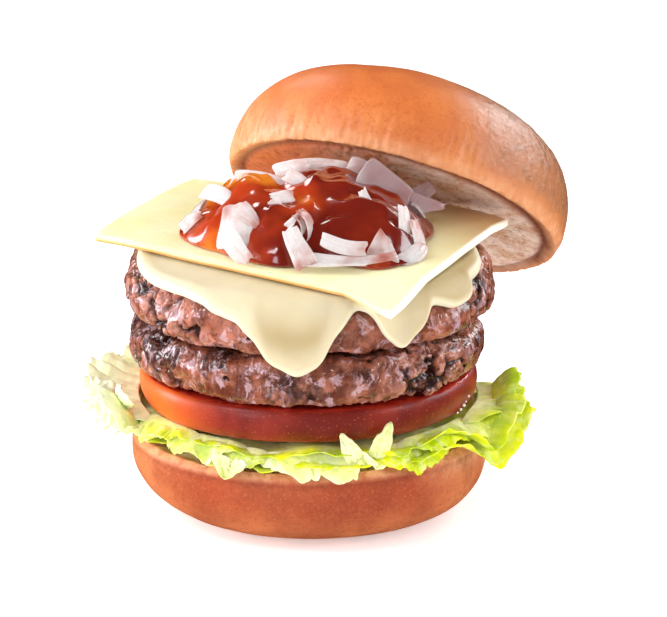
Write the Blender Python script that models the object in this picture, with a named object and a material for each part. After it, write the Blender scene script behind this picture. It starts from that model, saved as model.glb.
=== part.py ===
"""Double cheeseburger with a tilted crown bun, modelled in metres with +Z up.

The origin is the centre of the heel bun's flat base. The burger's front faces -Y.
Each layer is its own closed solid, with a small gap to the layer that it rests on.
"""

import math
from collections import namedtuple

import bmesh
import bpy
from mathutils import Matrix, Vector, noise

# Gap left between pieces that touch
GAP = 0.0003

# Heel bun: base, belly and the rim of its cut face
HEEL_BASE_R = 0.030
HEEL_BELLY_R = 0.0500
HEEL_BELLY_Z = 0.0168
HEEL_RIM_R = 0.0478
HEEL_TOP = 0.0232
HEEL_BASE_SHIFT = 0.0022

# Crown bun, measured from the plane of its cut face and along its own axis
CROWN_BELLY_R = 0.0510
CROWN_BELLY_Z = 0.0085
CROWN_HEIGHT = 0.0380
CROWN_RING_R = 0.0455
CROWN_CENTRE = Vector((0.0241, 0.0484, 0.0713))
CROWN_AXIS = Vector((0.270, 0.497, 0.824)).normalized()

# Lettuce leaves fill the space between the heel and the tomato
LEAF_THICK = 0.0009
LEAF_RIPPLE = 0.0008
LEAF_FRILL = 0.0030
LOWER_LEAF_Z = 0.0255
UPPER_LEAF_Z = 0.0287
REAR_FRILL = 0.0045

# Tomato slice
TOMATO_R = 0.0472
TOMATO_BASE = 0.0307
TOMATO_TOP = 0.0404

# Patties: the crags are dug into these outlines, never raised above them
PATTY_SHOULDER = 0.0060
PATTY_INSET = 0.0007
PATTY_SIDE_TURNS = (-65, -39, -13, 13, 39, 65)
LOWER_PATTY_R = 0.0514
LOWER_PATTY_BASE = 0.0407
LOWER_PATTY_TOP = 0.0549
UPPER_PATTY_R = 0.0528
UPPER_PATTY_BASE = 0.0552
UPPER_PATTY_TOP = 0.0733

# Melted cheese that drapes over the upper patty, and the slice on top of it
MELT_THICK = 0.0020
SLICE_THICK = 0.0022
SLICE_BASE = UPPER_PATTY_TOP + GAP + MELT_THICK + GAP
SLICE_TOP = SLICE_BASE + SLICE_THICK
SLICE_LEFT = Vector((-0.0605, -0.0015))
SLICE_FRONT = Vector((0.0222, -0.0592))
SLICE_RIGHT = Vector((0.0592, 0.0215))
SLICE_BACK = Vector((-0.0355, 0.0620))

# Heap of onion slices under thick sauce
HEAP_CENTRE = Vector((0.0000, -0.0050))
HEAP_HALF_X = 0.0365
HEAP_HALF_Y = 0.0330
HEAP_SQUARENESS = 2.3
HEAP_HEIGHT = 0.0185
HEAP_PEAK_SHIFT = 0.0150
SAUCE_COAT = 0.0026
ONION_THICK = 0.0017

# The top of the upper patty, and all that lies on it, leans down towards the front
LEAN_SLOPE = 0.075
LEAN_SOFTNESS = 0.015

FULL_TURN = 2 * math.pi


def clear_scene():
    for obj in list(bpy.data.objects):
        bpy.data.objects.remove(obj)


def food_material(name, colour, roughness):
    mat = bpy.data.materials.new(name)
    mat.use_nodes = True
    shader = mat.node_tree.nodes["Principled BSDF"]
    shader.inputs["Base Color"].default_value = (*colour, 1.0)
    shader.inputs["Roughness"].default_value = roughness
    shader.inputs["Metallic"].default_value = 0.0
    return mat


def add_object(name, bm, mat, smooth=True):
    """Link a bmesh as one named object with one material."""
    bmesh.ops.recalc_face_normals(bm, faces=bm.faces)
    mesh = bpy.data.meshes.new(name)
    bm.to_mesh(mesh)
    bm.free()
    if smooth:
        mesh.shade_smooth()
        mesh.set_sharp_from_angle(angle=math.radians(50))
    mesh.materials.append(mat)
    obj = bpy.data.objects.new(name, mesh)
    bpy.context.scene.collection.objects.link(obj)
    return obj


def smooth_step(low, high, value):
    t = min(1.0, max(0.0, (value - low) / (high - low)))
    return t * t * (3 - 2 * t)


def wrapped(angle):
    """An angle in degrees brought into -180 to 180."""
    return (angle + 180.0) % 360.0 - 180.0


def bump(angle, centre, half_width):
    """A smooth hump of height 1 at centre, nothing beyond half_width, in degrees."""
    t = abs(wrapped(angle - centre)) / half_width
    return 0.5 + 0.5 * math.cos(math.pi * t) if t < 1 else 0.0


def front_angle(x, y):
    """Degrees round the stack from the front, positive towards +X."""
    return math.degrees(math.atan2(x, -y))


def lean(point):
    """Lower a point of the upper patty or of what lies on it, by how far forward it is."""
    share = (point.z - UPPER_PATTY_BASE) / (UPPER_PATTY_TOP - UPPER_PATTY_BASE)
    share = min(1.0, max(0.0, share))
    forward = (math.hypot(point.y, LEAN_SOFTNESS) - point.y) / 2
    point.z -= LEAN_SLOPE * forward * share
    return point


def grid_solid(rings, bottom_centre, top_centre):
    """A closed surface through equal rings of points, with a fan at each end."""
    bm = bmesh.new()
    loops = [[bm.verts.new(p) for p in ring] for ring in rings]
    low = bm.verts.new(bottom_centre)
    high = bm.verts.new(top_centre)
    sides = len(loops[0])
    for i in range(sides):
        j = (i + 1) % sides
        bm.faces.new((low, loops[0][j], loops[0][i]))
        bm.faces.new((high, loops[-1][i], loops[-1][j]))
        for below, above in zip(loops, loops[1:]):
            bm.faces.new((below[i], below[j], above[j], above[i]))
    return bm


def turned_solid(outline, sides, shape=None):
    """Spin an outline of (radius, height) from axis to axis, then move each point by shape."""
    shape = shape or (lambda p: p)
    rings = []
    for radius, height in outline[1:-1]:
        ring = []
        for i in range(sides):
            turn = FULL_TURN * i / sides
            ring.append(shape(Vector((radius * math.cos(turn), radius * math.sin(turn), height))))
        rings.append(ring)
    return grid_solid(
        rings, shape(Vector((0, 0, outline[0][1]))), shape(Vector((0, 0, outline[-1][1])))
    )


def uneven_round(point, amount, seed):
    """Push a turned shape slightly out of round."""
    turn = math.atan2(point.y, point.x)
    swell = 1 + amount * (math.sin(2 * turn + seed) + 0.6 * math.sin(3 * turn + 2.3 * seed))
    return Vector((point.x * swell, point.y * swell, point.z))


def quarter_curve(start, end, steps, power=2.0, begin_flat=True):
    """Points after start, up to end, along a quarter of a superellipse."""
    points = []
    for i in range(1, steps + 1):
        t = 0.5 * math.pi * i / steps
        along, across = math.sin(t) ** (2 / power), 1 - math.cos(t) ** (2 / power)
        u, v = (along, across) if begin_flat else (across, along)
        points.append((start[0] + (end[0] - start[0]) * u, start[1] + (end[1] - start[1]) * v))
    return points


def heel_bun():
    """Bottom half of the bun: flat base, bowl-shaped crust and a toasted cut face."""
    belly = (HEEL_BELLY_R, HEEL_BELLY_Z)
    rim_round, face_dip = 0.0012, 0.0004
    outline = [(0, 0), (HEEL_BASE_R * 0.55, 0), (HEEL_BASE_R, 0)]
    outline += quarter_curve(outline[-1], belly, 5, power=2.1)
    outline += quarter_curve(belly, (HEEL_RIM_R, HEEL_TOP), 2, begin_flat=False)
    outline += [(HEEL_RIM_R - rim_round, HEEL_TOP), (HEEL_RIM_R - 2 * rim_round, HEEL_TOP - face_dip)]
    outline += [(0, HEEL_TOP - face_dip)]

    def skewed(point):
        point = uneven_round(point, 0.005, 0.7)
        point.x += HEEL_BASE_SHIFT * (1 - min(1.0, point.z / HEEL_BELLY_Z))
        return point

    bm = turned_solid(outline, 48, skewed)
    mat = food_material("bun_crust", (0.62, 0.27, 0.10), 0.5)
    return add_object("bun_heel", bm, mat)


def crown_bun():
    """Top half of the bun: a domed crust that rolls in over the rim of the cut face."""
    belly = (CROWN_BELLY_R, CROWN_BELLY_Z)
    lip = (CROWN_RING_R + 0.0020, 0.0)
    face = 0.0010
    crease = 0.0016
    outline = [(0, face), (CROWN_RING_R - 0.0015, face)]
    outline += [(CROWN_RING_R, crease), lip]
    outline += quarter_curve(lip, belly, 3, begin_flat=True)
    outline += quarter_curve(belly, (0, CROWN_HEIGHT), 8, power=2.25, begin_flat=False)
    bm = turned_solid(outline, 46, lambda p: uneven_round(p, 0.006, 2.1))
    mat = food_material("bun_crown_crust", (0.68, 0.32, 0.12), 0.35)
    crown = add_object("bun_crown", bm, mat)
    crown.location = CROWN_CENTRE
    crown.rotation_euler = CROWN_AXIS.to_track_quat("Z", "Y").to_euler()
    return crown


def tomato_slice():
    """One thick slice with a rounded skin edge and faint lobes."""

    def lobed(point):
        turn = math.atan2(point.y, point.x)
        swell = 1 + 0.006 * math.sin(5 * turn + 0.4) + 0.006 * math.sin(2 * turn)
        return Vector((point.x * swell, point.y * swell, point.z))

    height = TOMATO_TOP - TOMATO_BASE
    inset = 0.0016
    outline = [(0, TOMATO_BASE), (TOMATO_R - 2.2 * inset, TOMATO_BASE)]
    outline += [(TOMATO_R - inset, TOMATO_BASE + 0.06 * height)]
    outline += [(TOMATO_R - 0.3 * inset, TOMATO_BASE + 0.30 * height)]
    outline += [(TOMATO_R, TOMATO_BASE + 0.60 * height)]
    outline += [(TOMATO_R - 0.3 * inset, TOMATO_BASE + 0.88 * height)]
    outline += [(TOMATO_R - inset, TOMATO_TOP), (0, TOMATO_TOP)]
    bm = turned_solid(outline, 48, lobed)
    return add_object("tomato_slice", bm, food_material("tomato", (0.55, 0.045, 0.02), 0.2))


def patty_side(radius, base, top, turn):
    """A point (radius, height) of a patty's rounded side, turn degrees above its middle."""
    half = (top - base) / 2
    t = math.radians(turn)
    return radius - PATTY_SHOULDER * (1 - math.cos(t) ** 0.8), base + half + half * math.sin(t)


def patty_outline(radius, base, top):
    """Flat faces joined by a rounded side."""
    shoulder = radius - PATTY_SHOULDER
    outline = [(0, base), (shoulder * 0.55, base), (shoulder * 0.86, base), (shoulder, base)]
    outline += [patty_side(radius, base, top, turn) for turn in PATTY_SIDE_TURNS]
    outline += [(shoulder, top), (shoulder * 0.86, top), (shoulder * 0.55, top), (0, top)]
    return outline


def crag_depth(point, seed):
    """How far minced meat is torn in at a point: lumps with creases between them."""
    coarse = noise.noise(point * 130 + Vector((seed, 0, 0)))
    lumps = abs(noise.noise(point * 260 + Vector((0, seed, 5.0))))
    return 0.0011 * max(0.0, 0.35 + coarse) + 0.0016 * max(0.0, 0.22 - lumps) / 0.22


def patty(name, radius, base, top, seed, colour, leans):
    """A thick hand-pressed patty with a torn edge."""
    middle = (base + top) / 2

    def craggy(point):
        reach = math.hypot(point.x, point.y)
        if reach > 1e-6:
            side = smooth_step(0.74 * radius, 0.90 * radius, reach)
            depth = crag_depth(point, seed)
            swell = 0.0006 * math.sin(3 * math.atan2(point.y, point.x) + seed)
            scale = 1 + (swell - PATTY_INSET - 1.3 * depth) * side / reach
            point = Vector((point.x * scale, point.y * scale, point.z))
            point.z += (0.6 * depth if point.z < middle else -0.6 * depth) * (1 - 0.6 * side)
        return lean(point) if leans else point

    bm = turned_solid(patty_outline(radius, base, top), 56, craggy)
    return add_object(name, bm, food_material(name + "_meat", colour, 0.45))


# Lower edge of the melted cheese, as (degrees from the front, height of the edge)
MELT_EDGE = (
    (-180, 0.0705), (-163, 0.0632), (-145, 0.0712), (-122, 0.0677), (-100, 0.0725),
    (-40, 0.0725), (-33, 0.0719), (-27, 0.0699), (-21, 0.0687), (-16, 0.0651),
    (-9, 0.0557), (-2, 0.0524), (3, 0.0552), (8, 0.0663), (14, 0.0725), (18, 0.0715),
    (22, 0.0633), (27, 0.0587), (32, 0.0639), (38, 0.0707), (46, 0.0687), (54, 0.0725),
    (88, 0.0725), (105, 0.0667), (118, 0.0617), (134, 0.0702), (156, 0.0677),
)


def melt_edge_height(angle):
    """Height of the melted cheese's lower edge, read smoothly between its knots."""
    angle = wrapped(angle)
    knots = list(MELT_EDGE) + [(MELT_EDGE[0][0] + 360, MELT_EDGE[0][1])]
    for (a, low), (b, high) in zip(knots, knots[1:]):
        if a <= angle <= b:
            return low + (high - low) * smooth_step(a, b, angle)
    return knots[0][1]


def melt_path():
    """Stations (distance along, radius, height, turn of the normal) over the patty and down its side."""
    shoulder = UPPER_PATTY_R - PATTY_SHOULDER
    stations = [(r, UPPER_PATTY_TOP, 90.0) for r in (0.0, shoulder * 0.55, shoulder * 0.86, shoulder)]
    for turn in (*PATTY_SIDE_TURNS[:-3:-1], 0):
        radius, height = patty_side(UPPER_PATTY_R, UPPER_PATTY_BASE, UPPER_PATTY_TOP, turn)
        stations.append((radius, height, turn))
    stations.append((UPPER_PATTY_R, UPPER_PATTY_BASE - 0.010, 0.0))
    path, reach = [], 0.0
    for i, (radius, height, turn) in enumerate(stations):
        if i:
            reach += math.hypot(radius - stations[i - 1][0], height - stations[i - 1][1])
        path.append((reach, radius, height, turn))
    return path


def on_path(path, reach):
    """Radius, height and outward normal at a distance along the path."""
    for (s0, r0, z0, t0), (s1, r1, z1, t1) in zip(path, path[1:]):
        if s0 <= reach <= s1:
            f = (reach - s0) / (s1 - s0)
            turn = math.radians(t0 + (t1 - t0) * f)
            return r0 + (r1 - r0) * f, z0 + (z1 - z0) * f, math.cos(turn), math.sin(turn)
    raise ValueError(f"{reach} is off the path")


def reach_of_height(path, height):
    """Distance along the path at which it has come down to a height."""
    for (s0, _, z0, _), (s1, _, z1, _) in zip(path, path[1:]):
        if z1 < z0 and z1 <= height <= z0:
            return s0 + (s1 - s0) * (z0 - height) / (z0 - z1)
    raise ValueError(f"the melted cheese has no edge at height {height}")


def melt_columns():
    """Angles from the front, close together where the cheese drips most."""
    half_front, front_columns, back_columns = 64.0, 35, 19
    front = [half_front * (2 * i / front_columns - 1) for i in range(front_columns)]
    back = [half_front + (360 - 2 * half_front) * i / back_columns for i in range(back_columns)]
    return front + back


def melted_cheese():
    """A slice melted over the upper patty, running down its side in drips."""
    path = melt_path()
    rim_step = 0.0004
    side_shares = (0.5, 1.0)
    fixed = [s for s, _, _, _ in path[1:-1]]
    rings = len(fixed) + len(side_shares)
    columns = []
    for angle in melt_columns():
        end = reach_of_height(path, melt_edge_height(angle))
        stops = list(fixed) + [fixed[-1] + (end - fixed[-1]) * share for share in side_shares]
        for k in range(rings):
            stops[k] = min(stops[k], end - rim_step * (rings - 1 - k))
        columns.append((math.radians(angle), stops, end))

    def place(turn, radius, height):
        return lean(Vector((radius * math.sin(turn), -radius * math.cos(turn), height)))

    def ring_at(k, offset):
        ring = []
        for turn, stops, _ in columns:
            radius, height, out, up = on_path(path, stops[k])
            ring.append(place(turn, radius + out * offset, height + up * offset))
        return ring

    edge = []
    for turn, _, end in columns:
        radius, height, out, up = on_path(path, end + 0.45 * MELT_THICK)
        offset = GAP + 0.45 * MELT_THICK
        edge.append(place(turn, radius + out * offset, height + up * offset))
    inner = [ring_at(k, GAP) for k in range(rings)]
    outer = [ring_at(k, GAP + MELT_THICK * (0.84 if k == rings - 1 else 1.0)) for k in range(rings)]
    centre_in = lean(Vector((0, 0, UPPER_PATTY_TOP + GAP)))
    centre_out = lean(Vector((0, 0, UPPER_PATTY_TOP + GAP + MELT_THICK)))
    bm = grid_solid(inner + [edge] + outer[::-1], centre_in, centre_out)
    return add_object("cheese_melted", bm, food_material("melted_cheese", (0.86, 0.74, 0.44), 0.4))


# The slice sags past this radius, by (slope, degrees from the front, half-width in degrees)
SLICE_FREE_R = 0.0502
SLICE_SAGS = ((0.46, 21, 55), (0.22, 108, 42), (0.07, -92, 50), (-0.05, -150, 40))


def slice_drop(x, y):
    """How far the slice sags below the flat at a point, more at the front corner."""
    past = max(0.0, math.hypot(x, y) - SLICE_FREE_R)
    angle = front_angle(x, y)
    return past * sum(slope * bump(angle, centre, half) for slope, centre, half in SLICE_SAGS)


def slice_point(u, v):
    """A point of the square slice, from corner shares 0 to 1, with rounded corners."""
    square = 5.0
    a, b = 2 * u - 1, 2 * v - 1
    biggest = max(abs(a), abs(b))
    if biggest > 1e-9:
        rounded = (abs(a / biggest) ** square + abs(b / biggest) ** square) ** (1 / square)
        pull = 1 + (1 / rounded - 1) * 0.35 * biggest**6
        a, b = a * pull, b * pull
    u, v = (a + 1) / 2, (b + 1) / 2
    near = SLICE_LEFT.lerp(SLICE_FRONT, u)
    far = SLICE_BACK.lerp(SLICE_RIGHT, u)
    return near.lerp(far, v)


def cheese_slice():
    """The square slice that lies over the melted one, its corners past the patty."""
    steps = 12
    bm = bmesh.new()
    faces = {}
    for side, height in ((0, SLICE_BASE), (1, SLICE_TOP)):
        for i in range(steps):
            for j in range(steps):
                flat = slice_point(i / (steps - 1), j / (steps - 1))
                drop = slice_drop(flat.x, flat.y)
                faces[side, i, j] = bm.verts.new(lean(Vector((flat.x, flat.y, height - drop))))
    for i in range(steps - 1):
        for j in range(steps - 1):
            for side in (0, 1):
                corners = ((i, j), (i + 1, j), (i + 1, j + 1), (i, j + 1))
                bm.faces.new([faces[side, a, b] for a, b in corners])
    last = steps - 1
    rim = [(k, 0) for k in range(last)] + [(last, k) for k in range(last)]
    rim += [(last - k, last) for k in range(last)] + [(0, last - k) for k in range(last)]
    for p, q in zip(rim, rim[1:] + rim[:1]):
        bm.faces.new((faces[0, *p], faces[0, *q], faces[1, *q], faces[1, *p]))
    return add_object("cheese_slice", bm, food_material("cheese", (0.90, 0.66, 0.16), 0.35))


# Leaf: reach of its edge at the left, right and front, how far the edge is torn back at the
# left front, the radius past which it hangs free, and how far it rises or droops there
Leaf = namedtuple("Leaf", "name level left right front notch clear_r left_rise right_rise droop seed")
LOWER_LEAF = Leaf(
    "lettuce_lower", LOWER_LEAF_Z, 0.0580, 0.0625, 0.0497, 0.0100, 0.0508, 0.0100, 0.0045, 0.0020, 0.3
)
UPPER_LEAF = Leaf(
    "lettuce_upper", UPPER_LEAF_Z, 0.0630, 0.0605, 0.0492, 0.0020, 0.0480, 0.0080, 0.0060, 0.0000, 1.7
)


def leaf_reach(angle, leaf):
    """Radius of a leaf's torn edge: long frills at the two sides, short at the front."""
    reach = leaf.front - leaf.notch * bump(angle, -45, 36)
    reach += (leaf.left - leaf.front) * bump(angle, -86, 46)
    reach += (leaf.right - leaf.front) * bump(angle, 76, 46)
    reach += REAR_FRILL * bump(angle, 180, 95)
    turn = math.radians(angle)
    return reach + 0.0011 * math.sin(11 * turn + leaf.seed) + 0.0008 * math.sin(23 * turn + 2 * leaf.seed)


def leaf_point(leaf, turn, share):
    """A point of a leaf's middle surface: nearly flat under the tomato, ruffled beyond it."""
    angle = wrapped(math.degrees(turn))
    reach = leaf_reach(angle, leaf) * share
    free = smooth_step(leaf.clear_r, leaf.clear_r + 0.009, reach)
    ruffle = math.sin(9 * turn + 0.8) + 0.5 * math.sin(15 * turn + 1.9)
    height = leaf.level + LEAF_RIPPLE * ruffle * smooth_step(0.006, 0.035, reach)
    height += free * (LEAF_FRILL * ruffle + leaf.left_rise * bump(angle, -88, 56))
    height += free * (leaf.right_rise * bump(angle, 98, 44) - leaf.droop * bump(angle, 56, 28))
    turn += 0.035 * free * math.sin(15 * turn + 0.4)
    return Vector((reach * math.sin(turn), -reach * math.cos(turn), height))


def lettuce_leaf(leaf):
    """A thin ruffled leaf that lies between the heel and the tomato."""
    sides = 64
    shares = (0.45, 0.74, 0.84, 0.92, 1.0)
    half = Vector((0, 0, LEAF_THICK / 2))
    lower, upper = [], []
    for share in shares:
        ring = [leaf_point(leaf, FULL_TURN * i / sides, share) for i in range(sides)]
        lower.append([p - half for p in ring])
        upper.append([p + half for p in ring])
    centre = Vector((0, 0, leaf.level))
    bm = grid_solid(lower + upper[::-1], centre - half, centre + half)
    return add_object(leaf.name, bm, food_material(leaf.name + "_green", (0.42, 0.62, 0.08), 0.4))


def heap_height(x, y):
    """Height of the onion and sauce heap above the cheese, before its lumps."""
    along = abs(x - HEAP_CENTRE.x) / HEAP_HALF_X
    across = abs(y - HEAP_CENTRE.y) / HEAP_HALF_Y
    rho = min(1.0, (along**HEAP_SQUARENESS + across**HEAP_SQUARENESS) ** (1 / HEAP_SQUARENESS))
    peak = HEAP_CENTRE.y + HEAP_PEAK_SHIFT
    back = smooth_step(-0.030, peak, y)
    return HEAP_HEIGHT * (1 - rho**2.4) ** 0.75 * (0.62 + 0.38 * back)


def heap_mound(name, sides, scale, lower_by, grow, base, mat, seed, ripple):
    """A lumpy mound over the heap's oval, closed by a flat base."""
    shares = (0.30, 0.56, 0.78, 0.93)
    rim_height = 0.0007
    scale += grow / HEAP_HALF_Y

    def mound_point(turn, share):
        corner = abs(math.cos(turn)) ** HEAP_SQUARENESS + abs(math.sin(turn)) ** HEAP_SQUARENESS
        across = HEAP_HALF_X * share * math.cos(turn) / corner ** (1 / HEAP_SQUARENESS)
        along = HEAP_HALF_Y * share * math.sin(turn) / corner ** (1 / HEAP_SQUARENESS)
        tongue = 1 + ripple * (math.sin(5 * turn + seed) + 0.6 * math.sin(8 * turn + 2 * seed))
        x = HEAP_CENTRE.x + across * scale * tongue
        y = HEAP_CENTRE.y + along * scale * tongue
        inner_x, inner_y = HEAP_CENTRE.x + across, HEAP_CENTRE.y + along
        lump = 0.0013 * noise.noise(Vector((inner_x, inner_y, seed * 0.01)) * 120)
        height = max(rim_height, heap_height(inner_x, inner_y) + lump - lower_by)
        return Vector((x, y, SLICE_TOP + GAP + height + grow))

    rim = [mound_point(FULL_TURN * i / sides, 1.0) for i in range(sides)]
    floor = [Vector((p.x, p.y, base)) for p in rim]
    rings = [floor] + [[p + Vector((0, 0, 0.0002)) for p in rim]]
    rings += [[mound_point(FULL_TURN * i / sides, s) for i in range(sides)] for s in shares[::-1]]
    top = mound_point(0.0, 0.0)
    bm = grid_solid(rings, Vector((HEAP_CENTRE.x, HEAP_CENTRE.y, base)), top)
    return add_object(name, bm, mat)


# Onion slices: x, y, rise above the sauce, yaw, pitch, roll, bend radius, sweep, width.
# Each is a length of an onion ring. Roll 0 stands on its edge, roll 90 lies flat.
ONION_SLICES = (
    (0.0274, -0.0193, 0.0010, 80, 4, 20, 0.011, 100, 0.0075),
    (0.0189, -0.0290, 0.0008, -20, 22, 42, 0.010, 95, 0.0075),
    (0.0084, -0.0312, 0.0012, -12, -8, 60, 0.016, 62, 0.0066),
    (-0.0021, -0.0305, 0.0010, -58, 26, 66, 0.024, 44, 0.0078),
    (-0.0015, -0.0225, 0.0012, 75, 6, 20, 0.008, 120, 0.0060),
    (-0.0190, -0.0255, 0.0010, -78, 30, 72, 0.014, 85, 0.0095),
    (-0.0258, -0.0102, 0.0008, 24, 12, 62, 0.014, 90, 0.0085),
    (-0.0069, -0.0163, 0.0010, 10, -6, 66, 0.012, 55, 0.0070),
    (-0.0092, -0.0040, 0.0010, 12, -4, 50, 0.020, 70, 0.0100),
    (0.0022, 0.0060, 0.0016, -6, 0, 45, 0.017, 78, 0.0085),
    (0.0195, -0.0020, 0.0014, -38, 14, 52, 0.018, 70, 0.0110),
    (0.0295, 0.0000, 0.0010, -28, 12, 60, 0.019, 58, 0.0105),
    (0.0300, 0.0095, 0.0020, 28, -8, 40, 0.016, 56, 0.0080),
    (0.0100, -0.0345, 0.0002, 6, 0, 78, 0.028, 50, 0.0070),
    (0.0275, -0.0265, 0.0006, 46, 4, 70, 0.013, 70, 0.0065),
    (-0.0330, -0.0110, 0.0010, 62, 6, 66, 0.012, 70, 0.0080),
    (0.0152, -0.0150, 0.0012, 60, 10, 35, 0.009, 95, 0.0060),
    (-0.0215, 0.0060, 0.0010, -30, -6, 58, 0.015, 75, 0.0085),
    (0.0060, 0.0180, 0.0006, 20, -10, 62, 0.018, 60, 0.0090),
)


def onion_bmesh(row, grow):
    """One curved slice, thickened by grow on every side."""
    x, y, rise, yaw, pitch, roll, bend, sweep, width = row
    steps = 5
    half_t, half_w = ONION_THICK / 2 + grow, width / 2 + grow
    spare = grow / bend
    rings = []
    for i in range(steps + 1):
        t = (i / steps - 0.5) * (math.radians(sweep) + 2 * spare)
        ring = []
        for side, up in ((-1, -1), (1, -1), (1, 1), (-1, 1)):
            radius = bend + side * half_t
            ring.append(Vector((radius * math.sin(t), bend - radius * math.cos(t), up * half_w)))
        rings.append(ring)
    start, end = sum(rings[0], Vector()) / 4, sum(rings[-1], Vector()) / 4
    bm = grid_solid(rings, start, end)
    turn = Matrix.Rotation(math.radians(yaw), 4, "Z") @ Matrix.Rotation(math.radians(pitch), 4, "Y")
    turn = turn @ Matrix.Rotation(math.radians(roll), 4, "X")
    place = Matrix.Translation((x, y, SLICE_TOP + GAP + heap_height(x, y) + rise)) @ turn
    bmesh.ops.transform(bm, matrix=place, verts=bm.verts)
    floor = SLICE_TOP + (GAP if grow == 0 else -0.001)
    for vert in bm.verts:
        vert.co.z = max(vert.co.z, floor)
    return bm


def join_by_union(base, name, others):
    """Fuse a collection of closed objects onto base, then remove them."""
    group = bpy.data.collections.new(name + "_pieces")
    for obj in others:
        bpy.context.scene.collection.objects.unlink(obj)
        group.objects.link(obj)
    bpy.context.scene.collection.children.link(group)
    apply_boolean(base, "UNION", group)
    for obj in others:
        bpy.data.objects.remove(obj)
    bpy.data.collections.remove(group)


def apply_boolean(obj, operation, group):
    """Run one Boolean with a collection and keep its result as the object's mesh."""
    modifier = obj.modifiers.new(operation.lower(), "BOOLEAN")
    modifier.operation = operation
    modifier.operand_type = "COLLECTION"
    modifier.collection = group
    modifier.solver = "MANIFOLD"
    graph = bpy.context.evaluated_depsgraph_get()
    graph.update()
    mesh = bpy.data.meshes.new_from_object(obj.evaluated_get(graph))
    obj.modifiers.clear()
    obj.data = mesh


def keep_largest(obj):
    """Drop loose scraps that a Boolean left, keeping the biggest piece."""
    bm = bmesh.new()
    bm.from_mesh(obj.data)
    unseen, pieces = set(bm.verts), []
    while unseen:
        piece, frontier = set(), [unseen.pop()]
        while frontier:
            vert = frontier.pop()
            piece.add(vert)
            linked = {edge.other_vert(vert) for edge in vert.link_edges} & unseen
            unseen -= linked
            frontier.extend(linked)
        pieces.append(piece)
    pieces.sort(key=len)
    for scrap in pieces[:-1]:
        bmesh.ops.delete(bm, geom=list(scrap), context="VERTS")
    bm.to_mesh(obj.data)
    bm.free()


def lean_object(obj):
    for vert in obj.data.vertices:
        vert.co = lean(vert.co.copy())


def onion_and_sauce():
    """Onion slices fused to a core, and the sauce poured over them, cut round the onion."""
    onion_mat = food_material("onion", (0.85, 0.74, 0.68), 0.25)
    sauce_mat = food_material("sauce", (0.45, 0.06, 0.01), 0.15)
    floor = SLICE_TOP + GAP
    core_scale, cut_below = 0.80, 0.001

    def onion_group(name, grow, base):
        core = heap_mound(name, 28, core_scale, SAUCE_COAT, grow, base, onion_mat, 1.0, 0.0)
        slices = []
        for i, row in enumerate(ONION_SLICES):
            slices.append(add_object(f"{name}_{i}", onion_bmesh(row, grow), onion_mat))
        join_by_union(core, name, slices)
        return core

    onion = onion_group("onion_slices", 0.0, floor)
    keep_largest(onion)
    cutter = onion_group("onion_cutter", 1.3 * GAP, floor - cut_below)
    sauce = heap_mound("sauce", 36, 1.0, 0.0, 0.0, floor, sauce_mat, 3.0, 0.05)
    group = bpy.data.collections.new("sauce_cut")
    bpy.context.scene.collection.children.link(group)
    bpy.context.scene.collection.objects.unlink(cutter)
    group.objects.link(cutter)
    apply_boolean(sauce, "DIFFERENCE", group)
    bpy.data.objects.remove(cutter)
    bpy.data.collections.remove(group)
    keep_largest(sauce)
    lean_object(onion)
    lean_object(sauce)
    return onion, sauce


def main():
    clear_scene()
    heel_bun()
    lettuce_leaf(LOWER_LEAF)
    lettuce_leaf(UPPER_LEAF)
    tomato_slice()
    patty("patty_lower", LOWER_PATTY_R, LOWER_PATTY_BASE, LOWER_PATTY_TOP, 11.0, (0.17, 0.07, 0.045), False)
    patty("patty_upper", UPPER_PATTY_R, UPPER_PATTY_BASE, UPPER_PATTY_TOP, 27.0, (0.22, 0.09, 0.06), True)
    melted_cheese()
    cheese_slice()
    onion_and_sauce()
    crown_bun()


main()
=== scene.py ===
"""Finish, light and camera for the double cheeseburger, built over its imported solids.

Everything is in metres with +Z up. The burger's front faces -Y, and angles round the stack
run from the front, positive towards +X. The surfaces repeat the driving sizes of the solids.
"""

import math
from collections import namedtuple

import bmesh
import bpy
import numpy as np
from mathutils import Matrix, Vector, noise
from mathutils.bvhtree import BVHTree


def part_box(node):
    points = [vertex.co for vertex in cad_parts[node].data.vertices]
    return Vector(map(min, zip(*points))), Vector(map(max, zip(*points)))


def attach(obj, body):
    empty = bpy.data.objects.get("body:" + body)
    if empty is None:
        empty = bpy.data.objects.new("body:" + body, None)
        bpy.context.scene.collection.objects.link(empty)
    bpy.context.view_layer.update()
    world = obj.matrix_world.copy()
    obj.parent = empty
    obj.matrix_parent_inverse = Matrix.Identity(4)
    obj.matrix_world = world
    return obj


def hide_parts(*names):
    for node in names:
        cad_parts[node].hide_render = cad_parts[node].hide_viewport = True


# Camera, as the photograph was taken
VIEW_TARGET = Vector((0.0, 0.0, 0.0527))
VIEW_ELEVATION = 15.5
VIEW_DISTANCE = 0.75
FRAME_WIDTH_PX = 667
METRES_PER_PX = 0.0002762
SENSOR_MM = 36.0
VIEW_SHIFT = (0.0382, 0.0142)

UP = Vector((0, 0, 1))

# Gap kept between layers that touch
GAP = 0.0003

# How far inside a bun half, from its flat side, the rays start that find its skin
BUN_HEART = 0.012

# Crown bun
CROWN_CENTRE = Vector((0.0241, 0.0484, 0.0713))
CROWN_AXIS = Vector((0.270, 0.497, 0.824)).normalized()
CROWN_RING_R = 0.0455

# Heel bun
HEEL_RIM_R = 0.0478

# Tomato slice, and the drops of juice on it, as (angle, share of its height, radius)
TOMATO_FACE_R = 0.0462
TOMATO_DROP_R = 0.0466
TOMATO_DROPS = (
    (60, 0.20, 0.0003), (62.5, 0.24, 0.0004), (65, 0.30, 0.0005), (67, 0.36, 0.0003), (69.5, 0.46, 0.0004),
)

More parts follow.
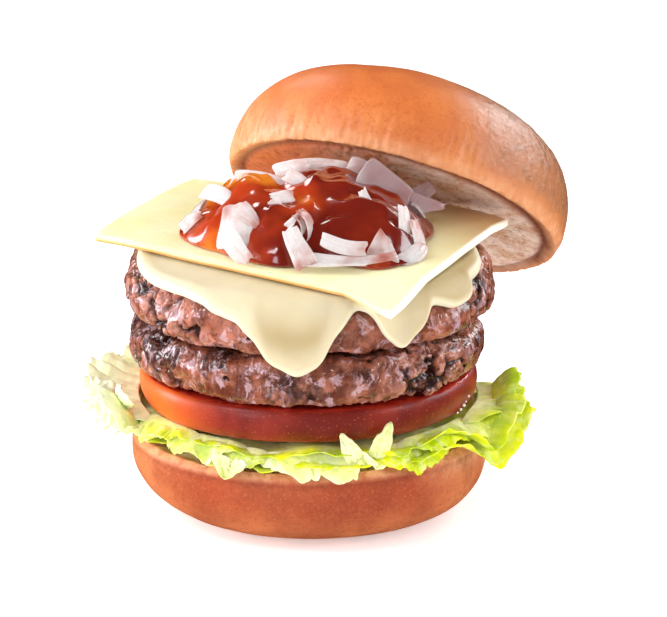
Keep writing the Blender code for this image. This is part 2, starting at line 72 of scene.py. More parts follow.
# How far in from a patty's side its rough meat starts, and where it is at its full roughness
PATTY_CORE_INSET = 0.0120
PATTY_ROUGH_INSET = 0.0080

# Upper patty, the cheese on it, and how all of that leans towards the front
PATTY_SHOULDER = 0.0060
UPPER_PATTY_R = 0.0528
UPPER_PATTY_BASE = 0.0552
UPPER_PATTY_TOP = 0.0733
MELT_THICK = 0.0020
MELT_ROUND = 0.0014
MELT_START_R = 0.018
SLICE_THICK = 0.0022
SLICE_BASE = UPPER_PATTY_TOP + GAP + MELT_THICK + GAP
SLICE_TOP = SLICE_BASE + SLICE_THICK
SLICE_LEFT = np.array((-0.0605, -0.0015))
SLICE_FRONT = np.array((0.0222, -0.0592))
SLICE_RIGHT = np.array((0.0592, 0.0215))
SLICE_BACK = np.array((-0.0355, 0.0620))
SLICE_FREE_R = 0.0502
SLICE_ROUND = 0.0009
SLICE_SAGS = ((0.46, 21, 55), (0.22, 108, 42), (0.07, -92, 50), (-0.05, -150, 40))
LEAN_SLOPE = 0.075
LEAN_SOFTNESS = 0.015

# Lower edge of the melted cheese, as (degrees from the front, height of the edge). At the hidden
# height the square slice covers the edge.
MELT_HIDDEN_Z = 0.0725
MELT_EDGE = (
    (-180, 0.0705), (-163, 0.0632), (-145, 0.0712), (-122, 0.0677), (-100, 0.0725),
    (-40, 0.0725), (-33, 0.0719), (-27, 0.0699), (-21, 0.0687), (-16, 0.0645),
    (-10, 0.0552), (-3, 0.0524), (3, 0.0550), (8, 0.0663), (14, 0.0725), (18, 0.0715),
    (22, 0.0633), (27, 0.0587), (32, 0.0639), (38, 0.0707), (47, 0.0682), (53, 0.0688), (58, 0.0725),
    (88, 0.0725), (120, 0.0720), (134, 0.0640), (146, 0.0700), (160, 0.0677), (180, 0.0705),
)

# Heap of onion and sauce. Turns run round its middle, from +X towards +Y, in degrees.
HEAP_CENTRE = np.array((0.0, -0.0050))
HEAP_HALF_X = 0.0365
HEAP_HALF_Y = 0.0330
HEAP_SQUARENESS = 2.3
HEAP_HEIGHT = 0.0150
HEAP_PEAK_SHIFT = 0.0150
SAUCE_COAT = 0.0026
PETAL_THICK = 0.0004

# How far out the sauce reaches, as (turn, share of the heap's oval)
SAUCE_RIM = (
    (-177, 0.92), (-160, 0.84), (-144, 0.74), (-127, 0.78), (-112, 0.82), (-99, 0.86), (-88, 0.70),
    (-78, 0.72), (-71, 0.80), (-64, 0.98), (-58, 1.02), (-42, 0.95), (-18, 0.88), (22, 0.93), (60, 0.94),
    (100, 0.94), (140, 0.92), (165, 0.92),
)

# Thick runs of sauce, as (half width, lift, corners of the run)
SAUCE_RUNS = (
    (0.0052, 0.0026, ((-0.0215, 0.0040), (-0.0185, -0.0020), (-0.0123, -0.0166), (-0.0087, -0.0320))),
    (0.0075, 0.0016, ((0.0050, 0.0020), (0.0073, -0.0055), (0.0126, -0.0145), (0.0232, -0.0192))),
    (0.0050, 0.0012, ((0.0060, -0.0235), (0.0177, -0.0255), (0.0240, -0.0230))),
    (0.0045, 0.0012, ((-0.0290, -0.0100), (-0.0248, -0.0194))),
    (0.0040, 0.0010, ((-0.0008, -0.0158), (0.0010, -0.0240))),
)

# Where the sauce is thin and amber, as (x, y, radius)
SAUCE_AMBER = (
    (-0.0230, 0.0030, 0.0085), (-0.0120, -0.0020, 0.0070), (0.0000, -0.0140, 0.0050),
    (-0.0280, -0.0230, 0.0050), (0.0180, -0.0330, 0.0040),
)

# Onion petals. Heading and tilt say where a petal's broad side faces, from the front and above
# the horizon; spin turns its length from level; sweep, cup and arc bend it; point narrows one end.
Petal = namedtuple("Petal", "x y rise heading tilt spin length width sweep cup arc point stain")
PETALS = (
    Petal(0.0258, -0.0207, 0.0020, 25, 20, 80, 0.0115, 0.0036, 33, 25, 12, 0.1, 0.00),
    Petal(0.0298, -0.0215, 0.0004, 48, 20, 84, 0.0120, 0.0050, 28, 12, 10, 0.3, 0.20),
    Petal(0.0192, -0.0300, 0.0014, 6, 32, 88, 0.0095, 0.0095, 8, 10, 0, 1.0, 0.40),
    Petal(0.0092, -0.0330, 0.0018, 0, 38, -13, 0.0120, 0.0042, 8, 10, 38, 0.0, 0.00),
    Petal(0.0118, -0.0352, 0.0006, 4, 50, 0, 0.0230, 0.0034, 11, 10, 34, 0.2, 0.35),
    Petal(-0.0026, -0.0335, 0.0016, -6, 42, -62, 0.0120, 0.0047, 8, 9, 4, -0.4, 0.16),
    Petal(-0.0047, -0.0258, 0.0024, -20, 30, 58, 0.0080, 0.0034, 7, 10, 10, 0.9, 0.10),
    Petal(0.0010, -0.0252, 0.0008, 66, 12, 84, 0.0120, 0.0045, 118, 8, 0, 0.0, 0.35),
    Petal(-0.0008, -0.0250, 0.0004, 66, 12, 84, 0.0090, 0.0045, 118, 8, 0, 0.0, 0.25),
    Petal(-0.0192, -0.0226, 0.0018, -14, 40, 98, 0.0125, 0.0105, 14, 15, 0, 0.3, 0.08),
    Petal(-0.0190, -0.0300, 0.0008, -12, 48, -48, 0.0105, 0.0058, 8, 8, 8, 0.2, 0.04),
    Petal(-0.0150, -0.0226, 0.0026, 4, 40, -52, 0.0100, 0.0056, 19, 18, -14, 0.9, 0.50),
    Petal(-0.0222, -0.0085, 0.0018, -22, 45, -24, 0.0150, 0.0058, 19, 20, -36, 0.6, 0.02),
    Petal(-0.0318, -0.0098, 0.0008, -45, 40, 55, 0.0070, 0.0046, 28, 20, 0, 0.3, 0.30),
    Petal(-0.0070, -0.0143, 0.0024, 0, 46, 12, 0.0064, 0.0038, 8, 8, 0, 0.0, 0.05),
    Petal(-0.0076, -0.0185, 0.0016, 6, 42, -60, 0.0075, 0.0036, 11, 10, 10, 0.6, 0.40),
    Petal(-0.0120, -0.0030, 0.0012, -4, 50, -12, 0.0180, 0.0070, 19, 18, -16, 0.2, 0.06),
    Petal(-0.0028, -0.0050, 0.0022, 8, 40, -38, 0.0075, 0.0046, 25, 25, 0, 0.3, 0.10),
    Petal(0.0033, 0.0050, 0.0008, 0, 36, 3, 0.0160, 0.0090, 19, 12, -10, 0.2, 0.20),
    Petal(-0.0045, 0.0040, 0.0018, -16, 36, 26, 0.0100, 0.0070, 16, 15, 0, 0.6, 0.10),
    Petal(0.0209, -0.0022, 0.0016, 14, 34, -38, 0.0150, 0.0115, 14, 12, 0, 0.3, 0.42),
    Petal(0.0165, 0.0035, 0.0022, 4, 36, -20, 0.0120, 0.0080, 16, 15, 0, 0.4, 0.38),
    Petal(0.0300, -0.0010, 0.0010, 22, 42, -12, 0.0160, 0.0082, 11, 10, 0, 0.8, 0.36),
    Petal(0.0300, 0.0085, 0.0018, 16, 36, 30, 0.0125, 0.0062, 11, 10, 0, 0.4, 0.36),
    Petal(0.0158, -0.0136, 0.0022, 0, 38, -58, 0.0068, 0.0026, 19, 25, 40, 0.2, 0.05),
    Petal(0.0205, -0.0158, 0.0016, 10, 42, -24, 0.0125, 0.0022, 14, 25, 10, 0.5, 0.45),
    Petal(0.0280, -0.0275, 0.0006, 35, 50, 22, 0.0110, 0.0056, 22, 15, 16, 0.3, 0.20),
    Petal(0.0070, -0.0362, 0.0002, 0, 80, -3, 0.0170, 0.0036, 2, 2, 10, 0.4, 0.05),
)

# Lettuce
LEAF_RIPPLE = 0.0008
LEAF_FRILL = 0.0030
REAR_FRILL = 0.0045
LEAF_THICK = 0.0005
Leaf = namedtuple("Leaf", "name level left right front notch clear_r left_rise right_rise droop seed")
LOWER_LEAF = Leaf(
    "lettuce_lower", 0.0255, 0.0580, 0.0625, 0.0497, 0.0100, 0.0508, 0.0040, 0.0045, 0.0020, 0.3
)
UPPER_LEAF = Leaf(
    "lettuce_upper", 0.0287, 0.0630, 0.0605, 0.0492, 0.0020, 0.0480, 0.0045, 0.0060, 0.0000, 1.7
)

# Torn lobes of the leaves, in front and at the sides. Angles run from the front, positive towards +X.
Lobe = namedtuple("Lobe", "start stop inner_r inner_z outer_r outer_z waves swell green seed")
LOWER_LOBES = (
    Lobe(-19, 27, 0.0440, 0.0282, 0.0510, 0.0232, 3.4, 0.0011, 0.30, 1.3),
    Lobe(16, 56, 0.0445, 0.0286, 0.0516, 0.0226, 2.0, 0.0009, 1.00, 4.1),
    Lobe(-40, -12, 0.0440, 0.0286, 0.0512, 0.0240, 1.8, 0.0009, 0.85, 6.7),
    Lobe(58, 82, 0.0480, 0.0294, 0.0585, 0.0240, 2.2, 0.0012, 1.00, 8.3),
)
UPPER_LOBES = (
    Lobe(-58, -20, 0.0440, 0.0300, 0.0518, 0.0262, 2.2, 0.0012, 0.70, 2.2),
    Lobe(-70, -38, 0.0450, 0.0310, 0.0530, 0.0290, 1.8, 0.0010, 0.95, 5.4),
    Lobe(30, 70, 0.0450, 0.0300, 0.0524, 0.0272, 2.0, 0.0008, 1.00, 7.9),
    Lobe(-116, -62, 0.0470, 0.0316, 0.0622, 0.0318, 7.5, 0.0026, 0.50, 3.6),
    Lobe(-104, -54, 0.0465, 0.0296, 0.0605, 0.0286, 6.0, 0.0026, 0.75, 12.4),
    Lobe(-126, -74, 0.0470, 0.0326, 0.0622, 0.0362, 6.5, 0.0024, 0.40, 14.1),
    Lobe(62, 106, 0.0470, 0.0316, 0.0605, 0.0314, 3.4, 0.0016, 1.00, 9.8),
)

# Torn tips of the leaves. A tip starts at an angle, radius and height, and runs out and up by pitch,
# which grows by curl towards its end.
Flap = namedtuple("Flap", "angle radius height width length pitch curl roll green seed")
FRONT_FLAPS = (
    Flap(-24.0, 0.0490, 0.0268, 0.0100, 0.0058, -50, -20, 8, 0.6, 1.0),
    Flap(15.5, 0.0482, 0.0266, 0.0052, 0.0098, 78, 6, -30, 0.3, 2.0),
    Flap(22.0, 0.0484, 0.0268, 0.0060, 0.0108, 74, 8, 18, 0.5, 3.0),
    Flap(19.0, 0.0490, 0.0262, 0.0080, 0.0060, 30, -60, 40, 0.4, 4.0),
)
SIDE_FLAPS = (
    Flap(-80.0, 0.0540, 0.0330, 0.0120, 0.0075, 25, -60, 10, 0.3, 7.0),
    Flap(-70.0, 0.0520, 0.0320, 0.0110, 0.0080, 35, 70, -15, 0.4, 8.0),
)

# A skin's points, its faces, and its named masks, one value a point
Patch = namedtuple("Patch", "points faces masks")


def smooth_step(low, high, value):
    t = np.clip((value - low) / (high - low), 0.0, 1.0)
    return t * t * (3 - 2 * t)


def hump(angle, centre, half_width):
    """A smooth rise to 1 at centre, nothing beyond half_width, in degrees."""
    away = np.minimum(np.abs((angle - centre + 180) % 360 - 180) / half_width, 1.0)
    return 0.5 + 0.5 * np.cos(np.pi * away)


def front_angle(points):
    return np.degrees(np.arctan2(points[..., 0], -points[..., 1]))


def joined(*parts):
    """Points from their parts, each spread to the same shape."""
    return np.stack(np.broadcast_arrays(*parts), -1)


def at_turn(radius, turn, height):
    """Points at a radius, at a turn from the front in radians, and at a height."""
    return joined(radius * np.sin(turn), -radius * np.cos(turn), height)


def evened(values, passes, axis=0):
    """Values round a closed ring, evened out between neighbours."""
    for _ in range(passes):
        values = (np.roll(values, 1, axis) + 2 * values + np.roll(values, -1, axis)) / 4
    return values


def unit(vectors):
    return vectors / np.maximum(np.linalg.norm(vectors, axis=-1, keepdims=True), 1e-12)


def soft_noise(points, size, seed=0.0, octaves=1):
    """Noise from about -1 to 1 with lumps of the given size."""
    spots = (points.reshape(-1, 3) / size + seed).tolist()
    if octaves == 1:
        values = [noise.noise(spot) for spot in spots]
    else:
        values = [noise.fractal(spot, 1.0, 2.0, octaves) for spot in spots]
    return np.array(values).reshape(points.shape[:-1])


def cell_noise(points, size, seed=0.0):
    """Distances to the nearest and second nearest of scattered points, in cells."""
    spots = (points.reshape(-1, 3) / size + seed).tolist()
    found = np.array([noise.voronoi(spot)[0][:2] for spot in spots])
    return found[:, 0].reshape(points.shape[:-1]), found[:, 1].reshape(points.shape[:-1])


def warped(points, size, amount, seed):
    """Points pushed about by noise, so that what is drawn on them turns irregular."""
    pushes = [soft_noise(points, size, seed + 7.3 * k) for k in (1, 2, 3)]
    return points + amount * np.stack(pushes, -1)


def leaned(points):
    """Points of the upper patty, or of what lies on it, lowered by how far forward they are."""
    share = (points[..., 2] - UPPER_PATTY_BASE) / (UPPER_PATTY_TOP - UPPER_PATTY_BASE)
    forward = (np.hypot(points[..., 1], LEAN_SOFTNESS) - points[..., 1]) / 2
    lowered = points.copy()
    lowered[..., 2] -= LEAN_SLOPE * forward * np.clip(share, 0, 1)
    return lowered


def ring_normals(grid):
    """Outward normals of rings of points (rings, sides, 3) that run from low to high."""
    around = np.roll(grid, -1, axis=1) - np.roll(grid, 1, axis=1)
    return unit(np.cross(around, np.gradient(grid, axis=0)))


def sheet_normals(grid):
    """Normals of an open grid of points (rows, columns, 3)."""
    return unit(np.cross(np.gradient(grid, axis=1), np.gradient(grid, axis=0)))


def closed_patch(grid, masks):
    """A closed skin through rings of points (rings, sides, 3), with a fan at each end."""
    rings, sides = grid.shape[:2]
    index = np.arange(rings * sides).reshape(rings, sides)
    after = np.roll(index, -1, axis=1)
    faces = np.stack([index[:-1], after[:-1], after[1:], index[1:]], -1).reshape(-1, 4).tolist()
    low, high = rings * sides, rings * sides + 1
    faces += [(low, b, a) for a, b in zip(index[0].tolist(), after[0].tolist())]
    faces += [(high, a, b) for a, b in zip(index[-1].tolist(), after[-1].tolist())]
    points = np.vstack([grid.reshape(-1, 3), grid[0].mean(0), grid[-1].mean(0)])
    for name, mask in masks.items():
        mask = np.broadcast_to(mask, (rings, sides))
        masks[name] = np.concatenate([mask.ravel(), [mask[0].mean(), mask[-1].mean()]])
    return Patch(points, faces, masks)


def slab_patch(top, bottom, masks):
    """A closed slab between two open grids of points (rows, columns, 3)."""
    rows, columns = top.shape[:2]
    above = np.arange(rows * columns).reshape(rows, columns)
    below = above + rows * columns
    upper = np.stack([above[:-1, :-1], above[:-1, 1:], above[1:, 1:], above[1:, :-1]], -1)
    lower = np.stack([below[:-1, :-1], below[1:, :-1], below[1:, 1:], below[:-1, 1:]], -1)
    faces = upper.reshape(-1, 4).tolist() + lower.reshape(-1, 4).tolist()
    rim = [*above[0, :-1], *above[:-1, -1], *above[-1, :0:-1], *above[:0:-1, 0]]
    for a, b in zip(rim, rim[1:] + rim[:1]):
        faces.append((int(b), int(a), int(a) + rows * columns, int(b) + rows * columns))
    points = np.vstack([top.reshape(-1, 3), bottom.reshape(-1, 3)])
    masks = {name: np.tile(np.broadcast_to(mask, (rows, columns)).ravel(), 2) for name, mask in masks.items()}
    return Patch(points, faces, masks)


def join_patches(patches):
    points, faces, start = [], [], 0
    for patch in patches:
        points.append(patch.points)
        faces += [[start + i for i in face] for face in patch.faces]
        start += len(patch.points)
    masks = {
        name: np.concatenate([p.masks.get(name, np.zeros(len(p.points))) for p in patches])
        for name in patches[0].masks
    }
    return Patch(np.vstack(points), faces, masks)


def add_object(name, data):
    thing = bpy.data.objects.new(name, data)
    bpy.context.scene.collection.objects.link(thing)
    return thing


def add_piece(name, patch, material, nodes):
    """Make one piece of the burger that stands for the named solids."""
    mesh = bpy.data.meshes.new(name)
    mesh.from_pydata(patch.points.tolist(), [], patch.faces)
    bm = bmesh.new()
    bm.from_mesh(mesh)
    bmesh.ops.recalc_face_normals(bm, faces=bm.faces)
    bm.to_mesh(mesh)
    bm.free()
    for mask, values in patch.masks.items():
        attribute = mesh.attributes.new(mask, "FLOAT", "POINT")
        attribute.data.foreach_set("value", np.asarray(values, np.float32))
    mesh.shade_smooth()
    mesh.materials.append(material)
    piece = add_object(name, mesh)
    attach(piece, "root")
    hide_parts(*nodes)


def node_tree(node):
    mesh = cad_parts[node].data
    return BVHTree.FromPolygons([v.co for v in mesh.vertices], [p.vertices for p in mesh.polygons])


def turned_skin(node, centre, axis, core, step, sides):
    """Rings of points on a turned solid, from the foot of its axis to the top, about step apart.

    They are found by rays that fan out, in each half plane through the axis, from a circle of
    radius core round the centre. Inside that circle the rays run along the axis.
    """
    tree = node_tree(node)
    basis = axis.to_track_quat("Z", "Y").to_matrix()

    def hit(radius, out, up, turn):
        away = Vector((math.cos(turn), math.sin(turn), 0))
        start = centre + basis @ (away * radius)
        return tree.ray_cast(start, basis @ (away * out + Vector((0, 0, up))))[0]

    turns = np.linspace(0, 2 * math.pi, sides, endpoint=False).tolist()
    fan = np.radians(np.linspace(-89.5, 89.5, 359))
    probes = turns[:: sides // 8]
    profile = np.zeros((len(fan), 2))
    for turn in probes:
        for i, rise in enumerate(fan):
            found = basis.transposed() @ (hit(core, math.cos(rise), math.sin(rise), turn) - centre)
            profile[i] += np.array((math.hypot(found.x, found.y), found.z)) / len(probes)
    walked = np.concatenate([[0], np.cumsum(np.linalg.norm(np.diff(profile, axis=0), axis=1))])
    count = int(walked[-1] / step)
    rises = np.interp(np.linspace(0, walked[-1], count), walked, fan)
    rings = [[hit(core, math.cos(r), math.sin(r), turn) for turn in turns] for r in rises]
    inner = [core * share for share in (0.2, 0.5, 0.75, 0.9)] if core else []
    floor = [[hit(radius, 0.0, -1.0, turn) for turn in turns] for radius in inner]
    roof = [[hit(radius, 0.0, 1.0, turn) for turn in turns] for radius in inner[::-1]]
    return np.array([[tuple(p) for p in ring] for ring in floor + rings + roof])


def smoothed(grid, round_passes, along_passes, hold=0.0):
    """Even out flat facets round the axis, and along it except where hold is 1."""
    grid = evened(grid, round_passes, axis=1)
    free = np.broadcast_to(1 - np.asarray(hold), grid.shape[:2])[1:-1, :, None]
    for _ in range(along_passes):
        mean = (grid[:-2] + 2 * grid[1:-1] + grid[2:]) / 4
        grid[1:-1] += (mean - grid[1:-1]) * free
    return grid


def own_places(grid, centre, axis):
    """Radius, height and turn of points about a piece's own axis."""
    basis = np.array(axis.to_track_quat("Z", "Y").to_matrix())
    local = (grid - np.array(centre)) @ basis
    return np.hypot(local[..., 0], local[..., 1]), local[..., 2], np.arctan2(local[..., 1], local[..., 0])


def crumb_relief(points, seed):
    """Depth of the pores in a bun's cut face."""
    near, _ = cell_noise(warped(points, 0.003, 0.0008, seed), 0.0016, seed)
    pores = smooth_step(0.42, 0.10, near)
    return -0.00045 * pores + 0.00022 * soft_noise(points, 0.0024, seed, 3), pores


def wrinkle_noise(radius, height, turn, width, run, seed):
    """Wrinkles that run up a bun's side: narrow round it and long along it."""
    spots = joined(radius * np.cos(turn) / width, radius * np.sin(turn) / width, height / run)
    return soft_noise(spots, 1.0, seed, 2)


def heel_bun(material):
    """Bottom half of the bun: matte mottled crust, a pale wrinkled rim and a toasted cut face."""
    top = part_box("bun_heel")[1].z
    grid = turned_skin("bun_heel", BUN_HEART * UP, UP, core=0.0, step=0.00068, sides=520)
    radius, height, turn = own_places(grid, (0, 0, 0), UP)
    hold = np.maximum(smooth_step(top - 0.004, top - 0.0015, height), smooth_step(0.0008, 0.0, height))
    grid = smoothed(grid, 80, 60, hold)
    normals = ring_normals(grid)
    side = smooth_step(0.0, 0.004, height)
    face = smooth_step(HEEL_RIM_R - 0.0012, HEEL_RIM_R - 0.0026, radius) * (height > top - 0.004)
    rim = smooth_step(top - 0.0026, top - 0.0008, height) * (1 - face)
    relief, pores = crumb_relief(grid, 4.1)
    wrinkles = wrinkle_noise(radius, height, turn, 0.0014, 0.007, 2.0)
    lift = side * (1 - face) * 0.00030 * soft_noise(grid, 0.016, 3.0, 2)
    right = smooth_step(0.026, 0.042, grid[..., 0]) * smooth_step(0.010, 0.021, height) * (1 - face)
    lift = lift + (0.00026 * rim + 0.00032 * right) * wrinkles + face * relief
    rough_edge = 0.0006 * face * soft_noise(grid, 0.004, 1.0, 2)
    grid = grid + normals * lift[..., None]
    grid[..., 2] += rough_edge - 0.0002 * face
    # Paler towards the left and right sides: a painted highlight of the light on the sides of the bun. The
    # mask is also darker upwards, where the crust baked.
    sideways = smooth_step(0.50, 1.0, np.abs(np.sin(np.radians(front_angle(grid)))))
    bake = smooth_step(0.0, 0.015, height) * (1 - 0.85 * sideways)
    rim = np.maximum(rim, 0.75 * right * smooth_step(0.012, 0.022, height))
    crease = 0.5 * np.exp(-(((height - top + 0.0030 + 0.0004 * wrinkles) / 0.0004) ** 2)) * (1 - face)
    masks = {"bake": bake, "rim": rim, "face": face, "crease": crease, "pores": pores}
    masks |= {"blister": 0.0, "glow": 0.0}
    add_piece("heel_crust", closed_patch(grid, masks), material, ["bun_heel"])


def crown_bun(material):
    """Top half of the bun, seen from below its rim: dome, pale lip, dark ring and cut face."""
    heart = CROWN_CENTRE + CROWN_AXIS * BUN_HEART
    grid = turned_skin("bun_crown", heart, CROWN_AXIS, core=0.0, step=0.00073, sides=550)
    _, height, _ = own_places(grid, CROWN_CENTRE, CROWN_AXIS)
    grid = smoothed(grid, 100, 90, smooth_step(0.0075, 0.0030, height))
    radius, height, turn = own_places(grid, CROWN_CENTRE, CROWN_AXIS)
    normals = ring_normals(grid)
    lower = smooth_step(0.0030, 0.0010, height)
    face = smooth_step(CROWN_RING_R + 0.0004, CROWN_RING_R - 0.0014, radius) * lower
    crease = np.exp(-(((radius - CROWN_RING_R - 0.0002) / 0.0016) ** 2)) * smooth_step(0.0050, 0.0020, height)
    low_side = smooth_step(0.018, 0.004, height) * (1 - face)
    # The right side of the crown: real blisters in its bumps and gloss, and a painted shade tone, grey brown,
    # where that side lies in shade.
    right = smooth_step(0.034, 0.058, grid[..., 0]) * (1 - face) * smooth_step(0.002, 0.010, height)
    right = right * smooth_step(0.085, 0.060, grid[..., 1])
    blister_near, _ = cell_noise(warped(grid, 0.006, 0.0015, 5.0), 0.0034, 2.0)
    blisters = right * smooth_step(0.55, 0.15, blister_near)
    relief, pores = crumb_relief(grid, 9.7)
    wrinkles = wrinkle_noise(radius, height, turn, 0.0013, 0.010, 5.0)
    broad = 0.00040 * soft_noise(grid, 0.022, 1.0, 2) + 0.00006 * soft_noise(grid, 0.003, 3.0, 2)
    lift = (1 - face) * broad
    lift = lift + 0.00032 * low_side * wrinkles + 0.00012 * blisters + face * relief - 0.0005 * crease
    grid = grid + normals * lift[..., None]
    # Painted highlight: the left side of the crown gets the pale rim tone, for the strong light from the
    # left.
    painted_glare = smooth_step(-0.008, -0.022, grid[..., 0])
    rim = np.maximum(smooth_step(0.0060, 0.0015, height), painted_glare) * (1 - face)
    # Darker upwards where the crust baked, but lessened at the left as painted highlight.
    bake = smooth_step(0.002, 0.018, height) * (1 - 0.8 * smooth_step(-0.006, -0.022, grid[..., 0]))
    # Painted glow and shade: the cut face is tinted orange brown from the middle towards the left.
    glow = smooth_step(0.044, -0.010, grid[..., 0])
    masks = {"bake": bake, "rim": rim, "face": face, "crease": crease, "pores": pores}
    masks |= {"blister": 0.75 * right + 0.25 * blisters, "glow": glow}
    add_piece("crown_crust", closed_patch(grid, masks), material, ["bun_crown"])


def tomato_slice(material):
    """A thick slice: glossy skin round the edge, wet flesh above and below."""
    low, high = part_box("tomato_slice")
    middle = Vector((0, 0, (low.z + high.z) / 2))
    grid = turned_skin("tomato_slice", middle, UP, core=0.036, step=0.00045, sides=560)
    radius, height, _ = own_places(grid, middle, UP)
    half = (high.z - low.z) / 2
    face = smooth_step(TOMATO_FACE_R, TOMATO_FACE_R - 0.0010, radius)
    face = face * smooth_step(0.75 * half, 0.93 * half, np.abs(height))
    grid = smoothed(grid, 70, 8)
    lift = 0.00025 * soft_noise(grid, 0.018, 2.0, 2) + face * 0.00012 * soft_noise(grid, 0.0022, 4.0, 3)
    grid = grid + ring_normals(grid) * lift[..., None]
    # Painted glow: the left of the slice is tinted orange, for light through it from the back left.
    glow = smooth_step(-0.022, -0.044, grid[..., 0])
    patches = [closed_patch(grid, {"face": face, "glow": glow, "drop": 0.0})]
    for angle, rise, size in TOMATO_DROPS:
        patches.append(bead_patch(angle, TOMATO_DROP_R, low.z + 2 * half * rise, size))
    add_piece("tomato_flesh", join_patches(patches), material, ["tomato_slice"])


def bead_patch(angle, radius, height, size):
    """A drop of juice, as a small round bead at an angle from the front."""
    turns = np.linspace(0, 2 * np.pi, 14, endpoint=False)
    rises = np.radians(np.linspace(-75, 75, 8))[:, None]
    ball = joined(np.cos(rises) * np.cos(turns), np.cos(rises) * np.sin(turns), np.sin(rises))
    grid = ball * size + at_turn(radius, math.radians(angle), height)
    return closed_patch(grid, {"face": 0.0, "glow": 0.0, "drop": 1.0})


def meat_relief(points, torn, seed):
    """Lift of minced meat, and how deep in a crevice each point is."""
    bent = warped(points, 0.0075, 0.0030, seed)
    near, second = cell_noise(bent, 0.0068, seed)
    lump = np.minimum(1.0, (second - near) / 0.34) ** 0.8
    open_here = smooth_step(-0.25, 0.20, soft_noise(points, 0.0085, seed + 21, 2))
    bent = warped(points, 0.0030, 0.0012, seed + 4)
    near, second = cell_noise(bent, 0.0029, seed + 5)
    crumb = np.minimum(1.0, (second - near) / 0.40) ** 0.9
    crumb_here = smooth_step(-0.15, 0.30, soft_noise(points, 0.0060, seed + 31))
    broad = soft_noise(points, 0.0090, seed + 9, 2)
    grain = soft_noise(points, 0.0015, seed + 2, 3)
    angle = front_angle(points)
    drips = soft_noise(joined(angle / 1.6, points[..., 2] / 0.0060, 0), 1.0, seed + 14, 2)
    pit_near, _ = cell_noise(bent, 0.0046, seed + 11)
    pits = smooth_step(0.22, 0.10, pit_near) * crumb_here
    fine = 0.00055 * broad + 0.00030 * drips + 0.00016 * grain - 0.00065 * pits
    rough = -0.0024 * (1 - lump) * open_here - 0.0013 * (1 - crumb) * crumb_here
    rough = rough + 0.0011 * broad + 0.00024 * grain
    depth = torn * ((1 - lump) * open_here + 0.5 * (1 - crumb) * crumb_here) + (1 - torn) * pits
    return torn * rough + (1 - torn) * fine, np.clip(depth, 0, 1)


def patty(node, material, seed, torn_zones, wet_zones, char_zones):
    """A hand-pressed patty: torn into crumbs where the zones say, smoother elsewhere."""
    low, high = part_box(node)
    radius = (high.x - low.x) / 2
    middle = Vector((0, 0, (low.z + high.z) / 2))
    grid = turned_skin(node, middle, UP, core=radius - PATTY_CORE_INSET, step=0.00043, sides=740)
    reach = np.hypot(grid[..., 0], grid[..., 1])
    grid = smoothed(grid, 60, 14)
    angle = front_angle(grid)
    uneven = soft_noise(grid, 0.010, seed + 3)

    def zone_mask(zones, base):
        mask = np.full(angle.shape, base)
        for centre, half_width, amount in zones:
            mask = np.maximum(mask, amount * hump(angle, centre, half_width) ** 0.6)
        return np.clip(mask + 0.30 * uneven, 0.0, 1.0)

    torn = zone_mask(torn_zones, 0.15)
    wet = zone_mask(wet_zones, 0.0)
    rise = (grid[..., 2] - low.z) / (high.z - low.z)
    char = zone_mask(char_zones, 0.10) * smooth_step(0.15, 0.75, rise + 0.3 * uneven)
    lift, depth = meat_relief(grid, torn, seed)
    side = smooth_step(radius - PATTY_CORE_INSET, radius - PATTY_ROUGH_INSET, reach)
    grid = grid + ring_normals(grid) * (lift * side)[..., None]
    masks = {"depth": depth, "torn": torn, "wet": wet, "char": char}
    add_piece(node + "_meat", closed_patch(grid, masks), material, [node])


def melt_path():
    """Distance along, radius, height and turn of the normal, over the patty and down its side."""
    turns = np.radians(np.linspace(90, 0, 40))
    half = (UPPER_PATTY_TOP - UPPER_PATTY_BASE) / 2
    radius = UPPER_PATTY_R - PATTY_SHOULDER * (1 - np.cos(turns) ** 0.8)
    height = UPPER_PATTY_BASE + half + half * np.sin(turns)
    radius = np.concatenate([[0.0], radius, [UPPER_PATTY_R]])
    height = np.concatenate([[UPPER_PATTY_TOP], height, [UPPER_PATTY_BASE - 0.012]])
    turns = np.concatenate([[np.pi / 2], turns, [0.0]])
    walked = np.concatenate([[0], np.cumsum(np.hypot(np.diff(radius), np.diff(height)))])
    return walked, radius, height, turns


